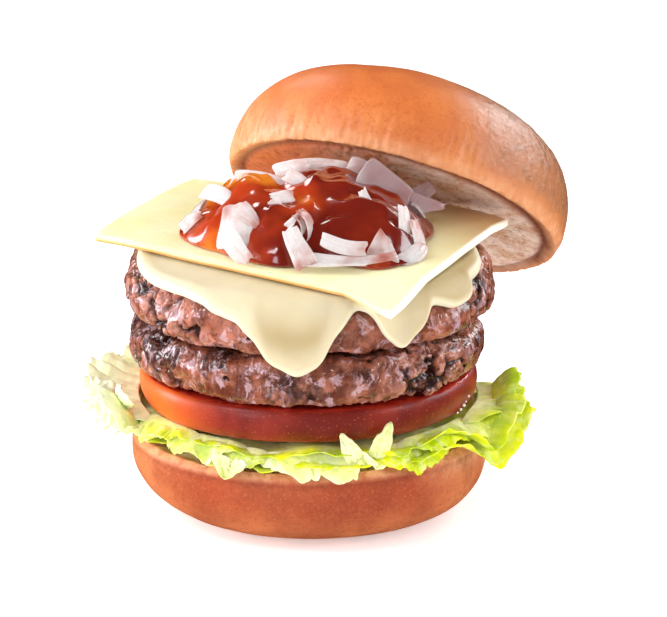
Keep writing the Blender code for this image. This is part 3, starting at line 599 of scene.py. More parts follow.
def melted_cheese(material):
    """The slice that melted over the upper patty, with fat rounded edges and drips."""
    walked, path_r, path_z, path_turn = melt_path()
    columns = 720
    angle = np.linspace(-180, 180, columns, endpoint=False)
    knots = np.array(MELT_EDGE)
    after = np.clip(np.searchsorted(knots[:, 0], angle, side="right"), 1, len(knots) - 1)
    start, stop = knots[after - 1], knots[after]
    share = smooth_step(0, 1, (angle - start[:, 0]) / (stop[:, 0] - start[:, 0]))
    edge = start[:, 1] + (stop[:, 1] - start[:, 1]) * share
    edge = evened(edge, 12)
    down = path_z < UPPER_PATTY_TOP
    end = np.interp(-edge, -path_z[down], walked[down]) + 0.45 * MELT_THICK
    end = end - 0.0050 * hump(angle, -94, 44) - 0.0060 * hump(angle, 98, 42)
    drip = evened(smooth_step(0.0665, 0.0560, edge), 160)
    turn = np.radians(angle)

    def ring(distance, offset):
        reach = np.interp(distance, walked, path_r)
        height = np.interp(distance, walked, path_z)
        tilt = np.interp(distance, walked, path_turn)
        reach = reach + np.cos(tilt) * offset
        height = height + np.sin(tilt) * offset
        return at_turn(reach, turn, height)

    inner_shares = np.linspace(0, 1, 26)
    inner = [ring(MELT_START_R + (end - MELT_START_R) * share, GAP) for share in inner_shares]
    rim_steps = MELT_ROUND * (1 - np.cos(np.linspace(0, np.pi / 2, 9)))
    outer, from_edge = [], [np.zeros(columns)] * len(inner)
    for left in [*rim_steps, *np.linspace(0, 1, 44)[1:]]:
        if len(outer) >= len(rim_steps):
            left = MELT_ROUND + (end - MELT_START_R - MELT_ROUND) * left
        inset = 1 - np.minimum(left / MELT_ROUND, 1)
        thick = MELT_THICK - 0.0002 + 0.00022 * np.exp(-(((left - 0.0026) / 0.0016) ** 2))
        thick = thick + 0.0008 * drip * np.exp(-(((left - 0.0050) / 0.0035) ** 2))
        outer.append(ring(end - left, GAP + thick * np.sqrt(1 - inset**2)))
        from_edge.append(left + 0 * end)
    grid = leaned(np.array(inner + outer))
    loose = smooth_step(0.030, 0.045, np.hypot(grid[..., 0], grid[..., 1]))
    wave = 0.00018 * loose * soft_noise(grid, 0.011, 4.0, 2)
    grid = grid + wave[..., None] * ring_normals(grid)
    # Painted shade: a tan tone in the hollows round the drips and over the right side, where the cheese lies
    # in shade.
    low = grid[..., 2] - (0.55 * edge + 0.45 * MELT_HIDDEN_Z)
    hollow = smooth_step(0.25, 0.9, drip) * np.exp(-((low / 0.0042) ** 2))
    tan = np.clip(0.85 * hollow + smooth_step(0.014, 0.044, grid[..., 0]), 0, 1)
    # The rim mask paints the free edges of the melt lighter: a painted highlight on its rounded edges.
    masks = {"rim": smooth_step(0.0024, 0.0006, np.array(from_edge)) * (loose > 0.5), "tan": tan}
    add_piece("cheese_drape", closed_patch(grid, masks), material, ["cheese_melted"])


def slice_plan(u, v):
    """A point of the square slice from its corner shares, with rounded corners."""
    a, b = 2 * u - 1, 2 * v - 1
    biggest = np.maximum(np.maximum(abs(a), abs(b)), 1e-9)
    rounded = (abs(a / biggest) ** 5 + abs(b / biggest) ** 5) ** 0.2
    pull = 1 + (1 / rounded - 1) * 0.35 * biggest**6
    u, v = (a * pull + 1)[..., None] / 2, (b * pull + 1)[..., None] / 2
    near = SLICE_LEFT + (SLICE_FRONT - SLICE_LEFT) * u
    far = SLICE_BACK + (SLICE_RIGHT - SLICE_BACK) * u
    return near + (far - near) * v


def cheese_slice(material):
    """The square slice that lies on the melted one, with soft edges and sagging corners."""
    close = np.array((0, 0.0012, 0.003, 0.0055, 0.009, 0.014))
    shares = np.concatenate([close, np.linspace(0.022, 0.978, 118), 1 - close[::-1]])
    u, v = np.meshgrid(shares, shares, indexing="ij")
    plan = slice_plan(u, v)
    side = np.linalg.norm(SLICE_FRONT - SLICE_LEFT)
    to_edge = np.minimum(np.minimum(u, 1 - u), np.minimum(v, 1 - v)) * side
    past = np.maximum(0, np.hypot(plan[..., 0], plan[..., 1]) - SLICE_FREE_R)
    angle = front_angle(plan)
    drop = past * sum(slope * hump(angle, centre, half) for slope, centre, half in SLICE_SAGS)
    inset = SLICE_ROUND - np.minimum(to_edge, SLICE_ROUND)
    corner = SLICE_ROUND - np.sqrt(SLICE_ROUND**2 - inset**2)
    x, y = plan[..., 0], plan[..., 1]
    wave = 0.00022 * soft_noise(joined(x, y, 0), 0.020, 3.0, 2)
    top = leaned(joined(x, y, SLICE_TOP - drop + wave - corner))
    bottom = leaned(joined(x, y, SLICE_BASE - drop + wave + 0.6 * corner))
    at_edge = smooth_step(0.0012, 0.0002, to_edge)
    # Painted glow: the front left edge is tinted golden, for light through the thin edge of the cheese.
    front_left = at_edge * smooth_step(0.0045, 0.0008, v * side) * smooth_step(1.0, 0.85, u)
    # Painted highlight: the front right edge is drawn whitish.
    front_right = at_edge * smooth_step(0.0045, 0.0008, (1 - u) * side)
    # Painted shade: a gold tone towards the right and back, where the crown shades the slice.
    shade = smooth_step(0.018, 0.062, x + 0.35 * y)
    patch = slab_patch(top, bottom, {"rim": front_left, "tan": shade, "painted_highlight": front_right})
    patch.masks["rim"][:front_left.size] *= 0.2
    add_piece("cheese_square", patch, material, ["cheese_slice"])


def leaf_reach(angle, leaf):
    """Radius of a leaf's torn edge: long frills at the two sides, short at the front."""
    turn = np.radians(angle)
    reach = leaf.front - leaf.notch * hump(angle, -45, 36)
    reach = reach + (leaf.left - leaf.front) * hump(angle, -86, 46)
    reach = reach + (leaf.right - leaf.front) * hump(angle, 76, 46)
    reach = reach + REAR_FRILL * hump(angle, 180, 95)
    return reach + 0.0011 * np.sin(11 * turn + leaf.seed) + 0.0008 * np.sin(23 * turn + 2 * leaf.seed)


def leaf_veins(points, angle, reach, seed):
    """Ribs that run outwards, joined by a net of fine veins, as a mask."""
    spots = joined(np.sin(np.radians(angle)), np.cos(np.radians(angle)), reach / 0.12)
    bent = angle + 9 * soft_noise(spots, 0.35, seed)
    rib = np.abs((bent + 2.0 * seed) % 17.0 - 8.5) * np.radians(1) * reach
    ribs = np.exp(-((rib / (0.0003 + 0.0006 * smooth_step(0.062, 0.040, reach))) ** 2))
    near, second = cell_noise(warped(points, 0.004, 0.0012, seed), 0.0052, seed)
    net = smooth_step(0.10, 0.01, second - near)
    return np.maximum(ribs, 0.55 * net), np.minimum(1.0, (second - near) / 0.5)


def lettuce_leaf(leaf, material, lobes, flaps):
    """A thin crinkled leaf between heel and tomato, frilled where it hangs free."""
    sides = 620
    turn = np.linspace(0, 2 * np.pi, sides, endpoint=False)[None, :]
    share = np.concatenate([(0.3, 0.5, 0.65), np.linspace(0.74, 1.0, 36)])[:, None]
    angle = (np.degrees(turn) + 180) % 360 - 180
    circle = joined(np.sin(turn), np.cos(turn), 0)[0]
    jag = (0.0010 + 0.0014 * hump(angle[0], -88, 44)) * soft_noise(circle * 0.06, 0.0040, leaf.seed, 3)
    outer = leaf_reach(angle, leaf) + jag[None, :]
    reach = outer * share
    free = smooth_step(leaf.clear_r, leaf.clear_r + 0.009, reach)
    ruffle = np.sin(9 * turn + 0.8) + 0.5 * np.sin(15 * turn + 1.9)
    fine = np.sin(34 * turn + 3 * leaf.seed + 2 * np.sin(3 * turn)) * smooth_step(0.86, 1.0, share)
    height = leaf.level + LEAF_RIPPLE * ruffle * smooth_step(0.006, 0.035, reach)
    ruffle = ruffle * (1 - 0.7 * hump(angle, -78, 46))
    height = height + free * (LEAF_FRILL * ruffle + leaf.left_rise * hump(angle, -88, 56))
    height = height + free * (leaf.right_rise * hump(angle, 98, 44) - leaf.droop * hump(angle, 56, 28))
    height = height + 0.0008 * free * fine
    pleats = soft_noise(circle * 0.06, 0.0030, leaf.seed + 9, 2)[None, :]
    sides_only = np.maximum(hump(angle, -88, 52), hump(angle, 84, 48))
    height = height + 0.0024 * free * sides_only * pleats * smooth_step(0.84, 1.0, share)
    folds = soft_noise(circle * 0.06, 0.0045, leaf.seed + 4, 2)[None, :]
    height = height + 0.0022 * free * hump(angle, -88, 50) * folds * smooth_step(0.80, 0.95, share)
    swirl = turn + 0.035 * free * np.sin(15 * turn + 0.4)
    grid = at_turn(reach, swirl, height)
    veins, domes = leaf_veins(grid, angle, reach, leaf.seed)
    crinkle = 0.00045 * domes + 0.0006 * soft_noise(grid, 0.0065, leaf.seed, 2) - 0.0002
    outside = smooth_step(0.044, 0.050, reach)
    grid[..., 2] += crinkle * (0.25 + 0.75 * outside)
    normals = ring_normals(grid) * (0.5 * LEAF_THICK * (0.6 + 0.4 * smooth_step(1.0, 0.97, share)))[..., None]
    normals = normals * np.where(normals[..., 2:] < 0, -1, 1)
    green = np.maximum(0.45 + 0.55 * smooth_step(0.80, 1.0, share), 0.9 * hump(angle, 78, 62))
    masks = {"vein": veins, "green": green, "pale": painted_glare_left(grid)}
    grid_masks = {name: np.vstack([mask, mask[::-1]]) for name, mask in masks.items()}
    patches = [closed_patch(np.vstack([grid - normals, (grid + normals)[::-1]]), grid_masks)]
    patches += [leaf_lobe(lobe) for lobe in lobes]
    patches += [leaf_flap(flap) for flap in flaps]
    add_piece(leaf.name + "_leaf", join_patches(patches), material, [leaf.name])


def leaf_lobe(lobe):
    """A broad torn lobe that comes out from under the tomato and ruffles towards its edge."""
    rows, columns = 30, 110
    out = np.linspace(0, 1, rows)[:, None]
    across = np.linspace(-1, 1, columns)[None, :]
    line = joined(across[0], 0, 0)
    ragged = 1 + 0.10 * soft_noise(line, 0.12, lobe.seed, 3)
    ragged = ragged + 0.16 * soft_noise(line, 0.55, lobe.seed + 1)
    shape = (1 - across**2) ** 0.6 * ragged[None, :]
    share = out * shape
    middle, half = (lobe.start + lobe.stop) / 2, (lobe.stop - lobe.start) / 2
    ruffle = np.sin(np.pi * lobe.waves * across + lobe.seed) + 0.5 * np.sin(np.pi * 2.3 * lobe.waves * across)
    ruffle = ruffle + 0.7 * soft_noise(line, 0.09, lobe.seed + 9, 2)
    angle = middle + half * across + 1.6 * share * np.cos(np.pi * lobe.waves * across + 2 * lobe.seed)
    reach = lobe.inner_r + (lobe.outer_r - lobe.inner_r) * share
    height = lobe.inner_z + (lobe.outer_z - lobe.inner_z) * share**1.6 + lobe.swell * ruffle * share**1.4
    height = height - 0.0022 * across**6
    grid = at_turn(reach, np.radians(angle), height)
    grid = grid + (0.0011 * share * soft_noise(grid, 0.0048, lobe.seed, 2))[..., None] * sheet_normals(grid)
    veins, domes = leaf_veins(grid, angle, reach, lobe.seed)
    offset = sheet_normals(grid) * (0.5 * LEAF_THICK * (1 - 0.5 * out**8))[..., None]
    grid = grid + sheet_normals(grid) * (0.0004 * domes * share)[..., None]
    green = lobe.green * smooth_step(-0.45, 0.75, share + 0.25 * soft_noise(grid, 0.009, lobe.seed + 5))
    return slab_patch(grid + offset, grid - offset, {"vein": veins, "green": green, "pale": painted_glare_left(grid)})


def painted_glare_left(points):
    """How pale the leaf is painted at the left: a painted highlight of the strong light from that side."""
    return smooth_step(-0.040, -0.056, points[..., 0])


def leaf_flap(flap):
    """A torn tip of leaf, narrower towards its end."""
    rows, columns = 26, 26
    along = np.linspace(0, 1, rows)[:, None]
    across = np.linspace(-1, 1, columns)[None, :]
    taper = (1 - along**2.2) ** 0.6 * (0.72 + 0.28 * np.sin(np.pi * np.minimum(along * 1.4, 1)))
    spots = joined(along, across, 0)
    ragged = 1 + 0.16 * soft_noise(spots, 0.22, flap.seed, 2)
    side = across * 0.5 * flap.width * taper * ragged
    bend = np.radians(flap.pitch + flap.curl * along)
    step = flap.length / (rows - 1)
    out = np.concatenate([[[0.0]], np.cumsum(np.cos(bend[1:]) * step, axis=0)])
    rise = np.concatenate([[[0.0]], np.cumsum(np.sin(bend[1:]) * step, axis=0)])
    cup = 0.14 * flap.width * (across**2) * (1 - 0.3 * along)
    cup = cup + 0.0007 * soft_noise(spots, 0.3, flap.seed + 3, 2)
    local = joined(side, -(out - cup * np.sin(bend)), rise + cup * np.cos(bend))
    angle = math.radians(flap.angle)
    turn = Matrix.Rotation(angle, 3, "Z") @ Matrix.Rotation(math.radians(flap.roll), 3, "Y")
    grid = local @ np.array(turn).T + at_turn(flap.radius, angle, flap.height)
    thick = LEAF_THICK * (1 - 0.6 * np.maximum(along, abs(across)) ** 6)
    offset = sheet_normals(grid) * 0.5 * thick[..., None]
    middle_vein = np.exp(-((across / 0.07) ** 2)) * (1 - along)
    branch = np.exp(-((((along * 5 + abs(across) * 1.6) % 1.0 - 0.5) / 0.12) ** 2)) * 0.6
    masks = {"vein": np.maximum(middle_vein, branch), "green": flap.green * (0.35 + 0.65 * along)}
    return slab_patch(grid + offset, grid - offset, masks | {"pale": painted_glare_left(grid)})


def heap_height(x, y):
    """Height of the onion and sauce heap above the cheese, before its lumps."""
    along = np.abs(x - HEAP_CENTRE[0]) / HEAP_HALF_X
    across = np.abs(y - HEAP_CENTRE[1]) / HEAP_HALF_Y
    rho = np.minimum(1.0, (along**HEAP_SQUARENESS + across**HEAP_SQUARENESS) ** (1 / HEAP_SQUARENESS))
    back = smooth_step(-0.030, HEAP_CENTRE[1] + HEAP_PEAK_SHIFT, y)
    return HEAP_HEIGHT * (1 - rho**2.4) ** 0.75 * (0.62 + 0.38 * back)


def heap_oval(turn, share):
    """Plan positions on the heap's oval at a turn and at a share of its size."""
    corner = np.abs(np.cos(turn)) ** HEAP_SQUARENESS + np.abs(np.sin(turn)) ** HEAP_SQUARENESS
    size = share / corner ** (1 / HEAP_SQUARENESS)
    x = HEAP_CENTRE[0] + HEAP_HALF_X * size * np.cos(turn)
    return x, HEAP_CENTRE[1] + HEAP_HALF_Y * size * np.sin(turn)


def away_from(x, y, corners):
    """Distance of plan positions from the line through the corners."""
    spots = joined(x, y)
    nearest = np.full(x.shape, np.inf)
    for start, stop in zip(corners, corners[1:]):
        start, run = np.array(start), np.array(stop) - np.array(start)
        share = np.clip((spots - start) @ run / (run @ run), 0, 1)[..., None]
        nearest = np.minimum(nearest, np.linalg.norm(spots - start - share * run, axis=-1))
    return nearest


def mound(turn, rim, lift_at):
    """Rings over the heap that slope down to the cheese at the rim."""
    share = np.sin(np.linspace(np.pi / 2, 0.02, 90))[:, None]
    x, y = heap_oval(turn[None, :], share * rim)
    edge = np.sqrt(np.clip(1 - share**5, 0, 1))
    height = 0.0003 + (heap_height(x, y) + lift_at(x, y)) * edge
    top = joined(x, y, SLICE_TOP + GAP + np.maximum(height, 0.0003))
    foot = joined(x[:1], y[:1], SLICE_TOP + GAP)
    return np.vstack([foot, top])


def sauce_rim(turn):
    """How far out the sauce reaches at each turn, as a share of the heap's oval."""
    knots = np.array(SAUCE_RIM)
    rim = np.interp(np.degrees(turn), knots[:, 0], knots[:, 1], period=360)
    return evened(rim, len(turn) // 10)


def sauce_pool(material):
    """Glossy sauce in thick smooth runs over the onion, drawn back where onion shows."""
    turn = np.linspace(-math.pi, math.pi, 420, endpoint=False)
    circle = joined(np.cos(turn), np.sin(turn), 0)
    rim = sauce_rim(turn) * (1.03 + 0.05 * soft_noise(circle, 0.40, 5.0))

    def lift_at(x, y):
        spots = joined(x, y, 0)
        ridge = 1 - 2 * np.abs(soft_noise(warped(spots, 0.008, 0.002, 1.0), 0.0110, 6.0))
        lift = 0.0014 * soft_noise(spots, 0.0090, 3.0, 2) + 0.0011 * ridge
        runs = [up * np.exp(-((away_from(x, y, path) / half) ** 2)) for half, up, path in SAUCE_RUNS]
        return lift + np.maximum.reduce(runs)

    grid = mound(turn, rim, lift_at)
    x, y = grid[..., 0], grid[..., 1]
    dark = 0.52 + 0.48 * smooth_step(-0.012, 0.006, x)
    run = np.exp(-((away_from(x, y, SAUCE_RUNS[0][2]) / 0.0055) ** 2))
    dark = dark + 0.32 * run * smooth_step(0.000, -0.014, y)
    for at_x, at_y, size in SAUCE_AMBER:
        dark = dark - 0.62 * np.exp(-(((x - at_x) ** 2 + (y - at_y) ** 2) / size**2))
    patch = closed_patch(leaned(grid), {"dark": dark})
    add_piece("sauce_pool", patch, material, ["sauce"])


def onion_petal(petal, seed):
    """One piece of an onion layer: a thin curved slice with soft edges and cut ends."""
    along = np.linspace(-0.5, 0.5, 34)[:, None]
    across = np.linspace(-0.5, 0.5, 17)[None, :]
    spots = joined(along, across, 0)
    ends = 1 - 0.12 * (2 * np.abs(along)) ** 8
    width = petal.width * ends * (1 - petal.point * (along + 0.5) ** 1.5)
    width = width * (1 + 0.12 * soft_noise(spots, 0.5, seed))
    sweep, cup, arc = (math.radians(bend) or 0.01 for bend in (petal.sweep, petal.cup, petal.arc))
    bow, gutter, swing = petal.length / sweep, petal.width / cup, petal.length / arc
    forward = bow * np.sin(sweep * along)
    sideways = across * width + swing * (1 - np.cos(arc * along))
    raised = -bow * (1 - np.cos(sweep * along)) - gutter * (1 - np.cos(cup * across))
    raised = raised + 0.0003 * soft_noise(spots, 0.45, seed + 2, 2)
    forward = forward + 0.0007 * soft_noise(spots, 0.30, seed + 4) * (2 * np.abs(along)) ** 4
    local = joined(forward, sideways, raised)
    heading, tilt, spin = (math.radians(turn) for turn in (petal.heading, petal.tilt, petal.spin))
    level = math.cos(tilt)
    facing = Vector((level * math.sin(heading), -level * math.cos(heading), math.sin(tilt)))
    right = Vector((math.cos(heading), math.sin(heading), 0))
    up = facing.cross(right)
    length_way = right * math.cos(spin) + up * math.sin(spin)
    width_way = up * math.cos(spin) - right * math.sin(spin)
    ground = SLICE_TOP + GAP
    place = np.array((petal.x, petal.y, ground + float(heap_height(petal.x, petal.y)) + petal.rise))
    grid = local @ np.array((length_way, width_way, facing)) + place
    rounded = (1 - 0.7 * (2 * np.abs(across)) ** 8) * (1 - 0.4 * (2 * np.abs(along)) ** 14)
    offset = sheet_normals(grid) * (PETAL_THICK / 2 * rounded)[..., None]
    both = [grid + offset, grid - offset]
    for surface in both:
        surface[..., 2] = np.maximum(surface[..., 2], ground)
    stain = petal.stain + 0.45 * smooth_step(-0.1, 0.5, along)
    # Painted shade: the petals at the back right, near the crown, tinted lilac grey.
    veil = smooth_step(0.010, 0.017, grid[..., 0]) * smooth_step(-0.012, -0.004, grid[..., 1])
    masks = {"lines": 0.5 + across, "stain": stain, "veil": veil}
    return slab_patch(leaned(both[0]), leaned(both[1]), masks)


def onion_heap(material):
    """The onion petals, on a core of chopped onion that the sauce covers."""
    turn = np.linspace(-math.pi, math.pi, 240, endpoint=False)

    def lift_at(x, y):
        spots = joined(x, y, 0)
        near, second = cell_noise(warped(spots, 0.006, 0.002, 3.0), 0.0060, 2.0)
        return 0.0016 * np.minimum(1, (second - near) / 0.4) - SAUCE_COAT

    core = mound(turn, 0.92 * sauce_rim(turn), lift_at)
    share = np.hypot(*(core[..., :2] - HEAP_CENTRE).transpose(2, 0, 1) / HEAP_HALF_X)
    stain = 0.85 + 0.15 * smooth_step(0.95, 0.55, share)
    patches = [closed_patch(leaned(core), {"lines": 0.5, "stain": stain, "veil": 0.0})]
    patches += [onion_petal(petal, 1.7 * i + 0.4) for i, petal in enumerate(PETALS)]
    for i in range(7):
        x, y = heap_oval(math.radians(26 * i + 14), 0.84)
        heading = math.degrees(math.atan2(x, HEAP_CENTRE[1] - y))
        rest = (0.0110, 0.0060, 45, 35, 20, 0.4, 0.25 + 0.4 * (i % 3) / 2)
        patches.append(onion_petal(Petal(x, y, 0.0002, heading, 45, 57 * i % 180, *rest), 3.1 * i))
    add_piece("onion_ribbons", join_patches(patches), material, ["onion_slices"])


def screen(red, green, blue):
    """A linear colour from the 0 to 255 values that a screen shows it with."""
    parts = [value / 255 for value in (red, green, blue)]
    return [p / 12.92 if p <= 0.04045 else ((p + 0.055) / 1.055) ** 2.4 for p in parts] + [1.0]


class Finish:
    """A material's nodes, made by short calls. The sizes of its patterns are in metres."""

    def __init__(self, name, depths=None, **settings):
        self.material = bpy.data.materials.new(name)
        self.material.use_nodes = True
        self.nodes = self.material.node_tree.nodes
        self.links = self.material.node_tree.links
        self.shader = self.nodes["Principled BSDF"]
        self.place = self.nodes.new("ShaderNodeTexCoord").outputs["Object"]
        for socket, value in settings.items():
            self.shader.inputs[socket.replace("_", " ")].default_value = value
        if depths:
            self.shader.inputs["Subsurface Radius"].default_value = depths
            self.shader.inputs["Subsurface Scale"].default_value = 1.0

    def put(self, value, socket):
        if isinstance(value, bpy.types.NodeSocket):
            self.links.new(value, socket)
        else:
            socket.default_value = value

    def add(self, kind, inputs, output=0, **settings):
        """A new node with its settings and inputs, which returns one of its outputs."""
        node = self.nodes.new("ShaderNode" + kind)
        for name, value in settings.items():
            setattr(node, name, value)
        for socket, value in inputs.items():
            self.put(value, node.inputs[socket])
        return node.outputs[output]

    def noise(self, size, detail=3.0, rough=0.55, distort=0.0, stretch=1.0):
        """Noise with lumps of the given size, drawn out upwards where stretch is above 1."""
        place = self.place
        if stretch != 1.0:
            place = self.add("VectorMath", {0: place, 1: (1, 1, 1 / stretch)}, operation="MULTIPLY")
        lumps = {"Vector": place, "Scale": 1 / size, "Detail": detail}
        return self.add("TexNoise", lumps | {"Roughness": rough, "Distortion": distort}, "Fac")

    def mask(self, name):
        return self.add("Attribute", {}, "Fac", attribute_name=name)

    def span(self, value, low, high, to_low=0.0, to_high=1.0):
        """The value carried from low..high to to_low..to_high, and held at the ends."""
        ends = {"From Min": low, "From Max": high, "To Min": to_low, "To Max": to_high}
        return self.add("MapRange", ends | {"Value": value}, "Result", interpolation_type="SMOOTHSTEP")

    def calc(self, operation, first, second):
        return self.add("Math", {0: first, 1: second}, operation=operation)

    def mix(self, share, *colours):
        """Two colours mixed, each another node's or the 0 to 255 values that a screen shows it with."""
        first, second = (c if isinstance(c, bpy.types.NodeSocket) else screen(*c) for c in colours)
        return self.add("Mix", {"Factor": share, 6: first, 7: second}, 2, data_type="RGBA")

    def tint(self, colour, mask, share, tone):
        """The colour with a tone mixed in where the mask says, up to a share."""
        return self.mix(self.calc("MULTIPLY", self.mask(mask), share), colour, tone)

    def dapple(self, colour, tone, size, detail, rough, low, high, share):
        """The colour with flecks of a tone, mixed in up to a share where noise passes low to high."""
        return self.mix(self.span(self.noise(size, detail, rough), low, high, 0.0, share), colour, tone)

    def bump(self, height, distance, under=None):
        inputs = {"Height": height, "Distance": distance}
        if under is not None:
            inputs["Normal"] = under
        return self.add("Bump", inputs, "Normal")

    def finish(self, colour, roughness=None, normal=None):
        self.put(colour, self.shader.inputs["Base Color"])
        if roughness is not None:
            self.put(roughness, self.shader.inputs["Roughness"])
        if normal is not None:
            self.links.new(normal, self.shader.inputs["Normal"])
        return self.material


def crust_finish(name, low_tone, top_tone, deep_tone, rim_tone, gloss):
    """Baked crust that darkens upwards, painted paler where light washes its sides, with fine freckles, and a
    crumb face.
    """
    depths = (0.004, 0.0016, 0.0007)
    skin = Finish(name, depths, Coat_Weight=gloss, Coat_Roughness=0.38, Subsurface_Weight=0.10)
    patches = skin.span(skin.noise(0.012, 4.0), 0.36, 0.64)
    # Darker upwards where it baked, and paler where the mask holds painted highlight.
    bake = skin.calc("MULTIPLY", skin.mask("bake"), skin.span(skin.noise(0.03), 0.25, 0.6, 0.75, 1.0))
    crust = skin.mix(bake, low_tone, top_tone)
    crust = skin.mix(skin.calc("MULTIPLY", patches, 0.45), crust, deep_tone)
    crust = skin.dapple(crust, deep_tone, 0.0011, 3.0, 0.60, 0.50, 0.70, 0.50)
    crust = skin.dapple(crust, low_tone, 0.0007, 2.0, 0.55, 0.50, 0.70, 0.24)
    streaks = skin.span(skin.noise(0.003, 4.0), 0.35, 0.65, 0.35, 0.9)
    # The rim tone: a real pale lip, and on the left of the crown a painted highlight.
    crust = skin.mix(skin.calc("MULTIPLY", skin.mask("rim"), streaks), crust, rim_tone)
    # Painted shade: a grey brown tone over the right side of the crown, where its blisters are.
    crust = skin.mix(skin.mask("blister"), crust, (158, 107, 74))
    toast = skin.span(skin.noise(0.009, 4.0), 0.40, 0.62)
    crumb = skin.mix(toast, (228, 198, 180), (202, 148, 114))
    crumb = skin.dapple(crumb, (236, 212, 192), 0.0009, 3.0, 0.55, 0.50, 0.66, 0.60)
    # Painted glow and shade on the cut face, in orange brown.
    crumb = skin.tint(crumb, "glow", 0.90, (206, 100, 36))
    # Painted shade in the pores of the cut face.
    crumb = skin.tint(crumb, "pores", 0.60, (150, 84, 46))
    colour = skin.mix(skin.mask("face"), crust, crumb)
    colour = skin.tint(colour, "crease", 0.92, (120, 46, 16))
    roughness = skin.span(skin.mask("face"), 0.0, 1.0, 0.50, 0.85)
    roughness = skin.calc("SUBTRACT", roughness, skin.calc("MULTIPLY", skin.mask("blister"), 0.30))
    normal = skin.bump(skin.noise(0.0006, 4.0, 0.65), 0.00010)
    beads = skin.calc("MULTIPLY", skin.mask("blister"), skin.noise(0.0018, 3.0, 0.6))
    normal = skin.bump(beads, 0.00080, normal)
    return skin.finish(colour, roughness, skin.bump(skin.noise(0.0022, 3.0), 0.00018, normal))


def tomato_finish():
    depths = (0.006, 0.0012, 0.0006)
    skin = Finish("tomato_skin", depths, Coat_Weight=0.08, Coat_Roughness=0.20, Subsurface_Weight=0.20)
    colour = skin.mix(skin.span(skin.noise(0.014, 3.0), 0.35, 0.65), (144, 36, 17), (110, 19, 7))
    colour = skin.dapple(colour, (222, 130, 60), 0.0006, 1.0, 0.55, 0.66, 0.74, 0.40)
    # Painted glow, orange, at the left of the slice.
    colour = skin.tint(colour, "glow", 0.85, (240, 104, 22))
    flesh = skin.mix(skin.span(skin.noise(0.005, 4.0), 0.35, 0.65), (178, 44, 28), (140, 22, 14))
    colour = skin.mix(skin.mask("face"), colour, flesh)
    # The drops are painted near white: a painted highlight for their glassy shine.
    colour = skin.mix(skin.mask("drop"), colour, (250, 226, 220))
    roughness = skin.span(skin.mask("face"), 0.0, 1.0, 0.42, 0.16)
    return skin.finish(colour, roughness, skin.bump(skin.noise(0.0013, 3.0), 0.00006))


def meat_finish(name, brown, light, dark, painted_sheen):
    """Fried minced meat: pinkish brown crumbs, painted shade in the crevices, a painted lilac sheen in
    patches and in runs where wet.
    """
    depths = (0.003, 0.001, 0.0006)
    meat = Finish(name, depths, Coat_Weight=1.0, Coat_Roughness=0.07, Subsurface_Weight=0.06)
    colour = meat.mix(meat.span(meat.noise(0.006, 4.0, 0.6), 0.40, 0.60), brown, light)
    pink = meat.span(meat.noise(0.0032, 3.0), 0.44, 0.60, 0.0, 0.60)
    colour = meat.mix(meat.calc("MULTIPLY", meat.mask("torn"), pink), colour, (222, 156, 134))
    uneven = meat.span(meat.noise(0.0075, 5.0, 0.65), 0.35, 0.65, -0.50, 0.50)
    seared = meat.calc("ADD", meat.mask("char"), uneven)
    colour = meat.mix(meat.span(seared, 0.25, 0.80, 0.0, 0.85), colour, dark)
    # Painted sheen: lilac patches of reflected light over the meat.
    sheen_patches = meat.span(meat.noise(0.0040, 5.0, 0.65, 0.6, 1.2), 0.54, 0.62, 0.0, 0.62)
    colour = meat.mix(sheen_patches, colour, painted_sheen)
    # Painted highlights: runs of the same sheen down the meat where it is wet.
    runs = meat.span(meat.noise(0.0022, 2.0, 0.5, 0.0, 4.0), 0.58, 0.74, 0.0, 0.8)
    colour = meat.mix(meat.calc("MULTIPLY", runs, meat.mask("wet")), colour, painted_sheen)
    colour = meat.dapple(colour, (64, 30, 22), 0.0008, 2.0, 0.70, 0.60, 0.68, 0.70)
    # Painted shade: crevices and pits drawn near black, darker the deeper they are.
    colour = meat.mix(meat.span(meat.mask("depth"), 0.10, 0.62, 0.0, 0.96), colour, (44, 15, 10))
    wet = meat.span(meat.mask("wet"), 0.0, 1.0, 0.36, 0.14)
    rough = meat.calc("ADD", wet, meat.span(meat.noise(0.002, 3.0), 0.3, 0.7, -0.10, 0.16))
    normal = meat.bump(meat.noise(0.0013, 4.0, 0.6), 0.00040)
    return meat.finish(colour, rough, meat.bump(meat.noise(0.0034, 3.0), 0.0009, normal))


def cheese_finish(name, tone, pale, shade, rim_tone, roughness):
    """Soft cheese, tinted by its masks: painted shade, its rim, and a painted highlight on an edge."""
    depths = (0.0045, 0.0030, 0.0010)
    cheese = Finish(name, depths, Coat_Weight=0.07, Coat_Roughness=0.35, Subsurface_Weight=0.30)
    colour = cheese.mix(cheese.span(cheese.noise(0.016, 3.0), 0.35, 0.68, 0.0, 0.6), tone, pale)
    # Painted shade, where the mask says.
    colour = cheese.tint(colour, "tan", 0.92, shade)
    # The rim: painted light along edges, lighter on the melt and a golden glow on the slice.
    colour = cheese.tint(colour, "rim", 0.85, rim_tone)
    # Painted highlight on the front right edge of the slice.
    colour = cheese.tint(colour, "painted_highlight", 0.80, (252, 250, 236))
    normal = cheese.bump(cheese.noise(0.0010, 3.0), 0.00003)
    return cheese.finish(colour, roughness, cheese.bump(cheese.noise(0.006, 3.0), 0.00025, normal))


